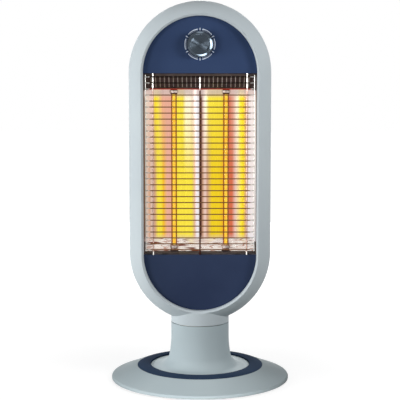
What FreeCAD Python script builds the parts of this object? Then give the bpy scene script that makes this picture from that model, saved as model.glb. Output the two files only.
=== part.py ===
import FreeCAD, Part
import math
import os
import Sketcher

# Oscillating radiant tower heater. The origin is on the floor under the middle of the foot,
# +Z is up and the heater faces -Y. The head swings about the Z axis.

Vec = FreeCAD.Vector
Turn = FreeCAD.Rotation

# Driving sizes in millimetres. Heights are above the floor, depths are measured from the swing axis.
SIZES = {
    # cuts run past the faces they open
    "overrun": 2,
    # screws
    "shank_radius": 1.5,
    "screw_head_radius": 3,
    "screw_head_height": 1.8,
    "shank_gap": 0.1,
    # foot
    "base_radius": 152,
    "base_wall": 3,
    "rim_clearance": 2,
    "rim_height": 3,
    "rim_round": 2.4,
    "rim_arc": 2.9,
    "shoulder_height": 23.5,
    "ledge_height": 20,
    "ledge_inner_radius": 62,
    "foot_height": 3,
    "foot_radius": 9,
    "foot_inset": 21,
    "plate_inset": 9,
    "plate_thickness": 2,
    "base_boss_radius": 5,
    "base_boss_inset": 4,
    "base_screw_length": 8,
    "ballast_gap": 30,
    "ballast_inner": 34,
    "ballast_thickness": 8,
    "accent_outer": 108,
    "accent_inner": 85,
    "accent_gap": 0.3,
    "accent_crown": 25.8,
    "accent_fall": 2.2,
    "accent_dome": 60,
    # cord entry
    "hood_radius": 8.5,
    "hood_gap": 4,
    "hood_inset": 3,
    "gland_height": 15,
    "gland_radius": 5,
    "gland_bore": 3.6,
    "gland_flange_radius": 6.4,
    "gland_flange": 2,
    # pedestal
    "neck_radius": 49.5,
    "neck_wall": 3,
    "neck_top": 99,
    "neck_straight_start": 75,
    "skirt_height": 25,
    "skirt_edge_height": 23.4,
    "skirt_round": 20,
    "skirt_round_radius": 72.5,
    "pedestal_screw_circle": 78,
    "pedestal_screw_length": 5.4,
    "seat_bore": 43,
    "seat_thickness": 3,
    "shelf_inner": 39.5,
    "shelf_top": 83,
    "shelf_thickness": 4,
    # swing bearing and drive
    "running_gap": 0.1,
    "glide_thickness": 2,
    "glide_gap": 0.4,
    "swivel_thickness": 3,
    "swivel_gap": 0.3,
    "spigot_wall": 2.9,
    "spigot_drop": 9.5,
    "retainer_outer": 45.5,
    "retainer_thickness": 2.4,
    "retainer_groove": 1.5,
    "retainer_play": 0.4,
    "retainer_mouth": 8,
    "wire_hole_radius": 9,
    "wire_hole_offset": 24,
    "swivel_screw_x": 34,
    "swivel_screw_y": 10,
    "swivel_screw_length": 6.5,
    "crank_offset": 14,
    "crank_radius": 9.8,
    "crank_disc_radius": 15,
    "crank_disc_thickness": 3,
    "crank_lift": 3,
    "crank_pin_radius": 2.5,
    "roller_radius": 4,
    "roller_height": 4,
    "roller_gap": 0.5,
    "yoke_thickness": 4,
    "yoke_width": 34,
    "yoke_length": 26,
    "yoke_start": 8,
    "yoke_slot_gap": 1,
    "yoke_screw_x": 12,
    "yoke_screw_length": 6.5,
    "motor_plate_thickness": 2,
    "motor_plate_gap": 0.3,
    "motor_plate_screw_length": 5.5,
    "motor_radius": 24.5,
    "motor_height": 20,
    "motor_boss_radius": 6,
    "motor_shaft_radius": 3.5,
    "motor_screw_offset": 19,
    "motor_screw_length": 6,
    # tip-over switch
    "plunger_radius": 8,
    "plunger_head": 8,
    "plunger_stem_radius": 4,
    "plunger_length": 30,
    "plunger_floor_gap": 0.3,
    "plunger_gap": 0.4,
    "guide_wall": 2.6,
    "guide_height": 17,
    "guide_roof": 2,
    "guide_flange": 17,
    "clip_radius": 6.5,
    "clip_thickness": 1.2,
    "clip_drop": 2,
    "clip_groove": 0.8,
    "spring_wire": 0.5,
    "spring_radius": 6,
    "switch_width": 10,
    "switch_length": 22,
    "switch_height": 14,
    "switch_button_radius": 2,
    "switch_button": 4,
    "bracket_width": 16,
    "bracket_sheet": 2,
    "bracket_reach": 11,
    # head shells
    "head_radius": 120,
    "head_straight": 305,
    "ring_width": 25,
    "shell_wall": 2.8,
    "seam_gap": 1.2,
    "split_depth": 2,
    "side_front": 4,
    "side_rear": 9,
    "front_bulge": 55,
    "rear_bulge": 41,
    "lip_bevel": 5,
    "ledge_bore": 30,
    "collar_ledge": 4,
    "sleeve_end": 20,
    "panel_face": 36,
    "panel_thickness": 3,
    "panel_gap": 0.3,
    "seat_width": 7,
    "panel_seat": 2.5,
    "boss_radius": 4.5,
    "boss_inset": 15,
    "boss_well_radius": 3.5,
    "boss_floor": 2.5,
    "housing_screw_length": 17,
    "vent_width": 120,
    "vent_height": 5,
    "vent_pitch": 12,
    # radiant window
    "chassis_gap": 0.2,
    "chassis_sheet": 1.2,
    "chassis_margin": 8,
    "sheet_metal": 0.8,
    "flange_gap": 1.5,
    "reflector_seam": 0.6,
    "reflector_top_drop": 28.5,
    "reflector_bottom_rise": 22,
    "trough_flat_rise": 1,
    "tube_depth": 8,
    "tube_radius": 5,
    "tube_wall": 1,
    "tube_lift": 9,
    "tube_top_drop": 30.5,
    "tube_fit": 0.05,
    "filament_width": 5,
    "filament_thickness": 1,
    "cap_radius": 5.9,
    "cap_length": 8,
    "cap_floor": 3,
    "clip_band": 1.5,
    "clip_height": 3.5,
    "clip_inset": 2.5,
    "clip_arm": 6,
    "slot_gap": 0.5,
    "louvre_sheet": 2,
    "louvre_slope_run": 35,
    "louvre_drop": 26,
    "louvre_end": 4.4,
    "louvre_slot_margin": 4,
    "sill_thickness": 2,
    "sill_depth": 27,
    "guard_wire_radius": 0.9,
    "guard_upright_radius": 1.3,
    "guard_last_drop": 6,
    "guard_first_rise": 9,
    "guard_side_gap": 2.5,
    "guard_side_depth": 33.4,
    "guard_bend_run": 6,
    "guard_bend_round": 4,
    "guard_weld": 0.3,
    "guard_side_inset": 3,
    "guard_centre_drop": 5,
    # selector and electrics
    "knob_rise": 48,
    "knob_radius": 23.2,
    "knob_waist_radius": 21,
    "knob_face_radius": 17,
    "knob_skirt": 3,
    "knob_height": 16,
    "knob_edge": 3,
    "knob_wall": 2,
    "knob_hub_radius": 6,
    "knob_roof": 3,
    "knob_gap": 0.6,
    "knob_cap_inset": 1.2,
    "knob_cap_recess": 1,
    "grip_width": 7,
    "grip_height": 2.6,
    "grip_round": 1,
    "selector_radius": 17,
    "selector_depth": 20,
    "selector_bush_radius": 5,
    "selector_bush": 7,
    "selector_shaft_radius": 3,
    "selector_shaft_engage": 16,
    "nut_radius": 8,
    "nut_thickness": 2.5,
    "cutout_radius": 8,
    "cutout_height": 7,
    "cutout_offset": 45,
    "terminal_width": 44,
    "terminal_depth": 14,
    "terminal_height": 16,
}

# Counts, angles and shares of a run.
FOOT_COUNT = 4
BASE_SCREW_COUNT = 4
MOTOR_PLATE_SCREW_COUNT = 3
GUARD_WIRE_COUNT = 30
LOUVRE_SLOT_COUNT = 24
VENT_UPPER_COUNT = 6
VENT_LOWER_COUNT = 8
SPRING_TURNS = 5
SPRING_TURN_STEPS = 8
HALF_STEP = 45
KNOB_REST_ANGLE = 60
BOSS_HEIGHT_SHARES = (0.05, 0.5, 0.95)
VENT_UPPER_SHARE = 0.78
VENT_LOWER_SHARE = 0.12
GLAND_LENGTH_SHARE = 0.5
LOUVRE_SLOT_SHARE = 0.6
GUARD_UPRIGHT_SHARE = 0.84
TUBE_OFFSET_SHARE = 0.47
TROUGH_DEPTH_SHARE = 0.214
TROUGH_FLAT_SHARE = 0.18
TROUGH_OUTER_SHARE = 0.364
RIDGE_SHARE = 0.16
RIDGE_DEPTH_SHARE = 0.043
CUTOUT_HEIGHT_SHARE = 0.78
TERMINAL_HEIGHT_SHARE = 0.1

doc = FreeCAD.newDocument("space_heater")
sheet = doc.addObject("Spreadsheet::Sheet", "Sizes")


class Dim:
    # A length that carries its number and the sheet expression it comes from.
    def __init__(self, value, text):
        self.value = float(value)
        self.text = text

    def __float__(self):
        return self.value

    def __add__(self, other):
        return Dim(self.value + float(other), f"({self.text} + {text_of(other)})")

    def __sub__(self, other):
        return Dim(self.value - float(other), f"({self.text} - {text_of(other)})")

    def __mul__(self, other):
        return Dim(self.value * float(other), f"({self.text} * {text_of(other)})")

    def __truediv__(self, other):
        return Dim(self.value / float(other), f"({self.text} / {text_of(other)})")

    def __neg__(self):
        return Dim(-self.value, f"(-{self.text})")


def text_of(value):
    return value.text if isinstance(value, Dim) else f"({value})"


def root(value):
    return Dim(math.sqrt(value.value), f"sqrt({value.text})")


class Sizes:
    pass


size = Sizes()
for row, (alias, value) in enumerate(SIZES.items(), start=1):
    sheet.set(f"A{row}", str(value))
    sheet.setAlias(f"A{row}", alias)
doc.recompute()
for alias in SIZES:
    setattr(size, alias, Dim(sheet.get(alias), f"Sizes.{alias}"))

ZERO = Dim(0, "0")

# Levels and depths that several pieces share.
plate_top = size.foot_height + size.plate_thickness
rim_top = size.rim_clearance + size.rim_height + size.rim_round
glide_top = size.neck_top + size.glide_thickness
swivel_top = glide_top + size.swivel_thickness
head_bottom = size.neck_top + size.seam_gap
low_centre = head_bottom + size.head_radius
top_centre = low_centre + size.head_straight
opening_radius = size.head_radius - size.ring_width
bulge_centre = size.head_radius - size.front_bulge
rear_bulge_centre = size.head_radius - size.rear_bulge
front_plane = size.side_front + size.front_bulge
rear_plane = size.side_rear + size.rear_bulge
lip_reach = opening_radius - bulge_centre
lip_depth = size.side_front + root(size.front_bulge * size.front_bulge - lip_reach * lip_reach)
panel_back = size.panel_face - size.panel_thickness
neck_bore = size.neck_radius - size.neck_wall
spigot_radius = size.seat_bore - size.running_gap
spigot_bore = spigot_radius - size.spigot_wall
motor_plate_top = size.shelf_top + size.motor_plate_thickness
crank_bottom = motor_plate_top + size.crank_lift
crank_top = crank_bottom + size.crank_disc_thickness
roller_top = glide_top - size.roller_gap
reflector_top = top_centre - size.reflector_top_drop
reflector_bottom = low_centre + size.reflector_bottom_rise
tube_bottom = low_centre + size.tube_lift
tube_top = top_centre - size.tube_top_drop
flange_edge = opening_radius - size.flange_gap
plate_radius = size.base_radius - size.plate_inset
foot_circle = plate_radius - size.foot_inset
base_boss_circle = (size.accent_outer + size.base_radius) / 2 - size.base_boss_inset
ballast_outer = base_boss_circle - size.ballast_gap
hood_start = size.accent_outer + size.hood_gap
hood_end = size.base_radius - size.hood_inset
gland_length = (hood_end - hood_start) * GLAND_LENGTH_SHARE
boss_offset = size.head_radius - size.boss_inset
tube_offset = flange_edge * TUBE_OFFSET_SHARE
ridge_width = flange_edge * RIDGE_SHARE
ridge_depth = flange_edge * RIDGE_DEPTH_SHARE
trough_depth = flange_edge * TROUGH_DEPTH_SHARE
trough_flat = flange_edge * TROUGH_FLAT_SHARE
trough_outer = flange_edge * TROUGH_OUTER_SHARE
chassis_depth = trough_depth - size.tube_depth + size.sheet_metal + size.chassis_gap
chassis_back = chassis_depth + size.chassis_sheet
louvre_slot_pitch = (flange_edge - size.louvre_end) * 2 / LOUVRE_SLOT_COUNT
louvre_slot_width = louvre_slot_pitch * LOUVRE_SLOT_SHARE
guard_side_x = flange_edge - size.guard_side_gap
guard_bend_x = guard_side_x - size.guard_bend_run
guard_upright_x = flange_edge * GUARD_UPRIGHT_SHARE
guard_span = size.head_straight - size.guard_first_rise - size.guard_last_drop
guard_pitch = guard_span / (GUARD_WIRE_COUNT - 1)
knob_height_level = top_centre + size.knob_rise
screw_bore = size.shank_radius + size.shank_gap

AXIS_TURNS = {
    "x": Turn(Vec(0, 1, 0), 90),
    "y": Turn(Vec(1, 0, 0), -90),
    "z": Turn(),
    "-y": Turn(Vec(1, 0, 0), 90),
    "-z": Turn(Vec(1, 0, 0), 180),
}
nodes = []


def bind(obj, **dims):
    for prop, dim in dims.items():
        if isinstance(dim, Dim):
            obj.setExpression(prop, dim.text)
        else:
            setattr(obj, prop, dim)


def place(obj, x=ZERO, y=ZERO, z=ZERO, turn=Turn()):
    obj.Placement = FreeCAD.Placement(Vec(float(x), float(y), float(z)), turn)
    for letter, dim in zip("xyz", (x, y, z)):
        obj.setExpression(f"Placement.Base.{letter}", dim.text)
    return obj


def keep(obj, label):
    obj.Label = label
    nodes.append(obj)
    return obj


def polar(radius, degrees):
    # A point on a circle, still bound to its radius.
    angle = math.radians(degrees)
    return radius * round(math.cos(angle), 12), radius * round(math.sin(angle), 12)


def cylinder(name, radius, height, x=ZERO, y=ZERO, z=ZERO, axis="z"):
    obj = doc.addObject("Part::Cylinder", name)
    bind(obj, Radius=radius, Height=height)
    return place(obj, x, y, z, AXIS_TURNS[axis])


def block(name, length, width, height, x=ZERO, y=ZERO, z=ZERO):
    obj = doc.addObject("Part::Box", name)
    bind(obj, Length=length, Width=width, Height=height)
    return place(obj, x, y, z)


def middle_block(name, length, y, width, z, height, x=ZERO):
    # A block that is centred across X and given by its near face and its underside.
    return block(name, length, width, height, x - length / 2, y, z)


def fuse(name, *shapes):
    obj = doc.addObject("Part::MultiFuse", name)
    obj.Shapes = list(shapes)
    return obj


def cut(name, base, *tools):
    obj = doc.addObject("Part::Cut", name)
    obj.Base = base
    obj.Tool = tools[0] if len(tools) == 1 else fuse(f"{name}_tools", *tools)
    return obj


def group(name, shapes):
    obj = doc.addObject("Part::Compound", name)
    obj.Links = list(shapes)
    return obj


def tube(name, outer, inner, height, x=ZERO, y=ZERO, z=ZERO, axis="z"):
    outside = cylinder(f"{name}_outside", outer, height, x, y, z, axis)
    inside = cylinder(f"{name}_inside", inner, height, x, y, z, axis)
    return cut(name, outside, inside)


def screw(name, x, y, z, length, axis):
    # The head sits on the point given and the shank runs from there along the axis.
    back = {"z": "-z", "-z": "z", "y": "-y", "-y": "y"}[axis]
    head = cylinder(f"{name}_head", size.screw_head_radius, size.screw_head_height, x, y, z, back)
    shank = cylinder(f"{name}_shank", size.shank_radius, length, x, y, z, axis)
    return fuse(name, head, shank)


def screws(label, places, length, axis):
    made = [screw(f"{label}_{i}", x, y, z, length, axis) for i, (x, y, z) in enumerate(places)]
    return keep(group(label, made), label)


def drills(name, places, reach, axis):
    # Clearance holes that start at each screw's seat and follow its shank.
    return [cylinder(f"{name}_{i}", screw_bore, reach, x, y, z, axis) for i, (x, y, z) in enumerate(places)]


def new_body(name):
    return doc.addObject("PartDesign::Body", name)


def sketch_on(body, name, role):
    sketch = body.newObject("Sketcher::SketchObject", name)
    plane = [feature for feature in body.Origin.OriginFeatures if feature.Role == role][0]
    sketch.AttachmentSupport = [(plane, "")]
    sketch.MapMode = "FlatFace"
    return sketch


def set_distance(sketch, kind, geometry, vertex, dim):
    if dim is ZERO:
        axis = -2 if kind == "X" else -1
        sketch.addConstraint(Sketcher.Constraint("PointOnObject", geometry, vertex, axis))
        return
    constraint = Sketcher.Constraint(f"Distance{kind}", -1, 1, geometry, vertex, float(dim))
    index = sketch.addConstraint(constraint)
    sketch.setExpression(f"Constraints[{index}]", dim.text)


def set_radius(sketch, geometry, dim):
    index = sketch.addConstraint(Sketcher.Constraint("Radius", geometry, float(dim)))
    sketch.setExpression(f"Constraints[{index}]", dim.text)


def arc_between(start, end, radius, way):
    # way is 1 where the outline runs counter-clockwise round the arc, and -1 where it runs clockwise.
    chord = end - start
    left = Vec(-chord.y, chord.x, 0).normalize()
    rise = math.sqrt(max(radius * radius - chord.Length ** 2 / 4, 0))
    centre = (start + end) / 2 + left * rise * way
    first, last = (start, end) if way > 0 else (end, start)
    angles = [math.atan2(p.y - centre.y, p.x - centre.x) for p in (first, last)]
    if angles[1] < angles[0]:
        angles[1] += 2 * math.pi
    return Part.ArcOfCircle(Part.Circle(centre, Vec(0, 0, 1), radius), *angles)


def outline(sketch, points):
    # Each point is (x, y) or (x, y, arc radius, way), where the arc leads on to the next point.
    spots = [Vec(float(p[0]), float(p[1]), 0) for p in points]
    starts = []
    ends = []
    for i, point in enumerate(points):
        here, there = spots[i], spots[(i + 1) % len(points)]
        if len(point) == 2:
            geometry = sketch.addGeometry(Part.LineSegment(here, there))
            starts.append((geometry, 1))
            ends.append((geometry, 2))
        else:
            geometry = sketch.addGeometry(arc_between(here, there, float(point[2]), point[3]))
            starts.append((geometry, 1 if point[3] > 0 else 2))
            ends.append((geometry, 2 if point[3] > 0 else 1))
    for i, point in enumerate(points):
        sketch.addConstraint(Sketcher.Constraint("Coincident", *ends[i - 1], *starts[i]))
    for i, point in enumerate(points):
        set_distance(sketch, "X", *starts[i], point[0])
        set_distance(sketch, "Y", *starts[i], point[1])
        if len(point) > 2:
            set_radius(sketch, starts[i][0], point[2])


def revolved(name, points):
    body = new_body(name)
    sketch = sketch_on(body, f"{name}_profile", "XZ_Plane")
    outline(sketch, points)
    turned = body.newObject("PartDesign::Revolution", f"{name}_turned")
    turned.Profile = sketch
    turned.ReferenceAxis = (sketch, ["V_Axis"])
    turned.Angle = 360
    return body


def stadium(sketch, radius, straight):
    # Two half circles joined by straight sides, the lower centre on the sketch's origin.
    r, length = float(radius), float(straight)
    up = Vec(0, 0, 1)
    right = sketch.addGeometry(Part.LineSegment(Vec(r, 0, 0), Vec(r, length, 0)))
    top = sketch.addGeometry(Part.ArcOfCircle(Part.Circle(Vec(0, length, 0), up, r), 0, math.pi))
    left = sketch.addGeometry(Part.LineSegment(Vec(-r, length, 0), Vec(-r, 0, 0)))
    bottom = sketch.addGeometry(Part.ArcOfCircle(Part.Circle(Vec(0, 0, 0), up, r), math.pi, 2 * math.pi))
    ring = (right, top, left, bottom)
    for here, there in zip(ring, ring[1:] + ring[:1]):
        sketch.addConstraint(Sketcher.Constraint("Tangent", here, 2, there, 1))
    sketch.addConstraint(Sketcher.Constraint("Coincident", bottom, 3, -1, 1))
    sketch.addConstraint(Sketcher.Constraint("Equal", top, bottom))
    set_distance(sketch, "X", top, 3, ZERO)
    set_distance(sketch, "Y", top, 3, straight)
    set_radius(sketch, bottom, radius)


def stadium_slab(name, radius, near, depth, front=True, edge=None, edge_kind="Fillet"):
    # A stadium-shaped slab of the head; near is its starting depth behind the axis, and it grows
    # forward or back. The far edge can be rounded or bevelled.
    body = new_body(name)
    sketch = sketch_on(body, f"{name}_outline", "XZ_Plane")
    stadium(sketch, radius, size.head_straight)
    pad = body.newObject("PartDesign::Pad", f"{name}_pad")
    pad.Profile = sketch
    pad.Reversed = not front
    bind(pad, Length=depth)
    if edge is not None:
        doc.recompute()
        far = pad.Shape.BoundBox.YMin if front else pad.Shape.BoundBox.YMax
        edges = [
            f"Edge{i}" for i, e in enumerate(pad.Shape.Edges, start=1)
            if abs(e.BoundBox.YMin - far) + abs(e.BoundBox.YMax - far) < float(size.overrun) / 2
        ]
        finish = body.newObject(f"PartDesign::{edge_kind}", f"{name}_edge")
        finish.Base = (pad, edges)
        if edge_kind == "Fillet":
            bind(finish, Radius=edge)
        else:
            bind(finish, Size=edge)
    return place(body, y=near, z=low_centre)


def pad_sketch(body, sketch, name, length, kind="Pad", backward=False):
    feature = body.newObject(f"PartDesign::{kind}", name)
    feature.Profile = sketch
    feature.Reversed = backward
    bind(feature, Length=length)
    return feature


def row_of(body, feature, name, axis_role, pitch, count):
    pattern = body.newObject("PartDesign::LinearPattern", name)
    pattern.Originals = [feature]
    axis = [f for f in body.Origin.OriginFeatures if f.Role == axis_role][0]
    pattern.Direction = (axis, [""])
    pattern.Occurrences = count
    bind(pattern, Length=pitch * (count - 1))
    body.Tip = pattern
    return pattern


# Foot

base_screw_places = [
    (*polar(base_boss_circle, HALF_STEP + i * 360 / BASE_SCREW_COUNT), size.foot_height)
    for i in range(BASE_SCREW_COUNT)
]
pedestal_screw_places = [
    (*polar(size.pedestal_screw_circle, HALF_STEP + i * 360 / BASE_SCREW_COUNT),
     size.ledge_height - size.base_wall)
    for i in range(BASE_SCREW_COUNT)
]


def make_base_shell():
    skin = revolved("base_skin", [
        (size.base_radius, size.rim_clearance),
        (size.base_radius, size.rim_clearance + size.rim_height, size.rim_arc, 1),
        (size.base_radius - size.rim_round, rim_top),
        (size.accent_outer, size.shoulder_height),
        (size.accent_outer, size.ledge_height),
        (size.ledge_inner_radius, size.ledge_height),
        (size.ledge_inner_radius, size.ledge_height - size.base_wall),
        (size.accent_outer, size.ledge_height - size.base_wall),
        (size.base_radius - size.base_wall, rim_top - size.base_wall),
        (size.base_radius - size.base_wall, size.rim_clearance),
    ])
    bosses = [
        cylinder(f"base_boss_{i}", size.base_boss_radius, size.ledge_height - plate_top, x, y, plate_top)
        for i, (x, y, z) in enumerate(base_screw_places)
    ]
    under = revolved("base_under_skin", [
        (size.ledge_inner_radius, plate_top),
        (size.base_radius - size.base_wall * 2, plate_top),
        (size.accent_outer, size.ledge_height - size.base_wall / 2),
        (size.ledge_inner_radius, size.ledge_height - size.base_wall / 2),
    ])
    hood = cylinder("hood", size.hood_radius, hood_end - hood_start,
                    y=hood_start, z=size.gland_height, axis="y")
    channel = cylinder("hood_channel", size.gland_radius + size.shank_gap,
                       hood_end - hood_start + size.hood_radius * 2,
                       y=hood_start - size.hood_radius, z=size.gland_height, axis="y")
    solid = fuse("base_solid", skin, hood, trimmed("base_bosses", bosses, under))
    holes = drills("base_boss_hole", base_screw_places, size.base_screw_length, "z")
    holes += drills("ledge_hole", pedestal_screw_places, size.base_wall, "z")
    keep(cut("base_shell", solid, channel, *holes), "base_shell")


def make_accent_ring():
    inner = size.accent_inner + size.accent_gap
    outer = size.accent_outer - size.accent_gap
    keep(revolved("accent_ring", [
        (inner, size.ledge_height),
        (outer, size.ledge_height),
        (outer, size.accent_crown - size.accent_fall, size.accent_dome, 1),
        (inner, size.accent_crown),
    ]), "accent_ring")


def make_base_plate():
    disc = cylinder("plate_disc", plate_radius, size.plate_thickness, z=size.foot_height)
    mouth = cylinder("plate_mouth", size.plunger_radius + size.plunger_gap, size.plate_thickness,
                     z=size.foot_height)
    holes = drills("plate_hole", base_screw_places, size.plate_thickness, "z")
    keep(cut("base_plate", disc, mouth, *holes), "base_plate")
    screws("base_screws", base_screw_places, size.base_screw_length, "z")


def make_feet():
    feet = []
    for i in range(FOOT_COUNT):
        x, y = polar(foot_circle, i * 360 / FOOT_COUNT)
        feet.append(cylinder(f"foot_{i}", size.foot_radius, size.foot_height, x, y))
    keep(group("rubber_feet", feet), "rubber_feet")


def make_ballast():
    keep(tube("ballast_ring", ballast_outer, size.ballast_inner, size.ballast_thickness, z=plate_top),
         "ballast_ring")


def make_cord_gland():
    inside = hood_end - gland_length + size.gland_flange
    sleeve = cylinder("gland_sleeve", size.gland_radius, gland_length - size.gland_flange,
                      y=inside, z=size.gland_height, axis="y")
    flange = cylinder("gland_flange_disc", size.gland_flange_radius, size.gland_flange,
                      y=hood_end, z=size.gland_height, axis="y")
    bore = cylinder("gland_passage", size.gland_bore, gland_length,
                    y=inside, z=size.gland_height, axis="y")
    keep(cut("cord_gland", fuse("gland_solid", sleeve, flange), bore), "cord_gland")


def make_pedestal():
    # Two arcs, tangent to each other, lead from the flat skirt to the straight neck.
    across = size.skirt_round_radius - size.neck_radius
    round_level = size.skirt_height + size.skirt_round
    above = size.neck_straight_start - round_level
    small = size.skirt_round
    sweep = (across * across + above * above - small * small) / ((across - small) * 2)
    away = size.neck_radius + sweep - size.skirt_round_radius

    def joint_point(radius):
        lean = radius / (sweep - small)
        return size.skirt_round_radius - away * lean, round_level - above * lean

    shelf_bottom = size.shelf_top - size.shelf_thickness
    skirt_edge = size.accent_inner - size.accent_gap
    body = revolved("pedestal_skin", [
        (skirt_edge, size.ledge_height),
        (skirt_edge, size.skirt_edge_height),
        (size.skirt_round_radius, size.skirt_height, small, -1),
        (*joint_point(small), sweep, -1),
        (size.neck_radius, size.neck_straight_start),
        (size.neck_radius, size.neck_top),
        (size.seat_bore, size.neck_top),
        (size.seat_bore, size.neck_top - size.seat_thickness),
        (neck_bore, size.neck_top - size.seat_thickness),
        (neck_bore, size.shelf_top),
        (size.shelf_inner, size.shelf_top),
        (size.shelf_inner, shelf_bottom),
        (neck_bore, shelf_bottom),
        (neck_bore, size.neck_straight_start, sweep + size.neck_wall, 1),
        (*joint_point(small + size.neck_wall), small + size.neck_wall, 1),
        (size.skirt_round_radius, size.skirt_height - size.neck_wall),
        (size.skirt_round_radius, size.ledge_height),
    ])
    pilots = drills("pedestal_pilot", pedestal_screw_places, size.pedestal_screw_length, "z")
    pilots += drills("shelf_pilot", motor_plate_screw_places, size.motor_plate_screw_length, "-z")
    keep(cut("pedestal", body, *pilots), "pedestal")
    screws("pedestal_screws", pedestal_screw_places, size.pedestal_screw_length, "z")


# Swing drive inside the neck

shelf_screw_circle = neck_bore - size.screw_head_radius - size.motor_plate_gap
motor_plate_screw_places = [
    (*polar(shelf_screw_circle, HALF_STEP * 2 + i * 360 / MOTOR_PLATE_SCREW_COUNT), motor_plate_top)
    for i in range(MOTOR_PLATE_SCREW_COUNT)
]
motor_screw_places = [
    (size.motor_screw_offset * side, size.crank_offset, motor_plate_top) for side in (-1, 1)
]


def make_motor():
    plate = cylinder("motor_plate_disc", neck_bore - size.motor_plate_gap, size.motor_plate_thickness,
                     z=size.shelf_top)
    boss_hole = cylinder("motor_plate_hole", size.motor_boss_radius + size.motor_plate_gap,
                         size.motor_plate_thickness, y=size.crank_offset, z=size.shelf_top)
    wire_hole = cylinder("motor_plate_wire_hole", size.wire_hole_radius, size.motor_plate_thickness,
                         y=-size.wire_hole_offset, z=size.shelf_top)
    holes = drills("motor_plate_drill", motor_plate_screw_places + motor_screw_places,
                   size.motor_plate_thickness, "-z")
    keep(cut("motor_plate", plate, boss_hole, wire_hole, *holes), "motor_plate")
    screws("motor_plate_screws", motor_plate_screw_places, size.motor_plate_screw_length, "-z")

    can = cylinder("motor_can", size.motor_radius, size.motor_height,
                   y=size.crank_offset, z=size.shelf_top - size.motor_height)
    boss = cylinder("motor_boss", size.motor_boss_radius, size.motor_plate_thickness,
                    y=size.crank_offset, z=size.shelf_top)
    bore = cylinder("motor_bore", size.motor_shaft_radius + size.running_gap / 2,
                    size.motor_plate_thickness * 2,
                    y=size.crank_offset, z=size.shelf_top - size.motor_plate_thickness)
    pilots = drills("motor_pilot", motor_screw_places, size.motor_screw_length, "-z")
    keep(cut("oscillation_motor", fuse("motor_solid", can, boss), bore, *pilots), "oscillation_motor")
    screws("motor_screws", motor_screw_places, size.motor_screw_length, "-z")


def make_crank():
    pin_y = size.crank_offset + size.crank_radius
    shaft_bottom = size.shelf_top - size.motor_plate_thickness
    keep(cylinder("motor_shaft", size.motor_shaft_radius, crank_top - shaft_bottom,
                  y=size.crank_offset, z=shaft_bottom), "motor_shaft")
    disc = cylinder("crank_plate", size.crank_disc_radius, size.crank_disc_thickness,
                    y=size.crank_offset, z=crank_bottom)
    pin = cylinder("crank_pin", size.crank_pin_radius, roller_top - crank_bottom, y=pin_y, z=crank_bottom)
    hole = cylinder("crank_hole", size.motor_shaft_radius, size.crank_disc_thickness,
                    y=size.crank_offset, z=crank_bottom)
    keep(cut("crank_disc", fuse("crank_solid", disc, pin), hole), "crank_disc")
    keep(tube("crank_roller", size.roller_radius, size.crank_pin_radius + size.running_gap / 2,
              size.roller_height, y=pin_y, z=roller_top - size.roller_height), "crank_roller")


swivel_screw_places = [
    (size.swivel_screw_x * right, size.swivel_screw_y * back, glide_top)
    for right in (-1, 1) for back in (-1, 1)
]
yoke_screw_places = [
    (size.yoke_screw_x * side, size.yoke_start + size.yoke_length / 2, glide_top - size.yoke_thickness)
    for side in (-1, 1)
]


def make_swivel():
    keep(tube("glide_ring", neck_bore, size.seat_bore + size.glide_gap, size.glide_thickness,
              z=size.neck_top), "glide_ring")

    spigot_bottom = glide_top - size.spigot_drop
    groove_top = size.neck_top - size.seat_thickness - size.retainer_play
    groove_radius = spigot_radius - size.retainer_groove
    plate = cylinder("swivel_disc", size.neck_radius - size.shell_wall - size.swivel_gap,
                     size.swivel_thickness, z=glide_top)
    spigot = cylinder("swivel_spigot", spigot_radius, size.spigot_drop, z=spigot_bottom)
    bore = cylinder("swivel_bore", spigot_bore, size.spigot_drop, z=spigot_bottom)
    groove = tube("swivel_groove", spigot_radius + size.overrun, groove_radius,
                  size.retainer_thickness, z=groove_top - size.retainer_thickness)
    wire_hole = cylinder("swivel_wire_hole", size.wire_hole_radius, size.swivel_thickness,
                         y=-size.wire_hole_offset, z=glide_top)
    holes = drills("swivel_hole", swivel_screw_places, size.swivel_thickness, "z")
    holes += drills("swivel_yoke_hole", yoke_screw_places, size.yoke_thickness + size.swivel_thickness, "z")
    solid = fuse("swivel_solid", plate, spigot)
    keep(cut("swivel_plate", solid, bore, groove, wire_hole, *holes), "swivel_plate")
    screws("swivel_screws", swivel_screw_places, size.swivel_screw_length, "z")

    band = tube("retainer_band", size.retainer_outer, groove_radius + size.running_gap,
                size.retainer_thickness - size.running_gap * 2,
                z=groove_top - size.retainer_thickness + size.running_gap)
    mouth = middle_block("retainer_gap", size.retainer_mouth, -size.retainer_outer - size.overrun,
                         size.retainer_outer, groove_top - size.retainer_thickness, size.retainer_thickness)
    keep(cut("swivel_retainer", band, mouth), "swivel_retainer")

    slot_width = (size.roller_radius + size.yoke_slot_gap) * 2
    nearest = root(size.crank_offset * size.crank_offset + size.crank_radius * size.crank_radius)
    slot_start = nearest - slot_width / 2
    slot_end = size.crank_offset + size.crank_radius + slot_width / 2
    bar = middle_block("yoke_bar", size.yoke_width, size.yoke_start, size.yoke_length,
                       glide_top - size.yoke_thickness, size.yoke_thickness)
    slot = middle_block("yoke_slot", slot_width, slot_start, slot_end - slot_start,
                        glide_top - size.yoke_thickness, size.yoke_thickness)
    yoke_holes = drills("yoke_hole", yoke_screw_places, size.yoke_thickness, "z")
    keep(cut("drive_yoke", bar, slot, *yoke_holes), "drive_yoke")
    screws("yoke_screws", yoke_screw_places, size.yoke_screw_length, "z")


# Tip-over switch

guide_roof_level = plate_top + size.guide_height - size.guide_roof
plunger_head_top = size.plunger_floor_gap + size.plunger_head
plunger_top = size.plunger_floor_gap + size.plunger_length


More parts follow.
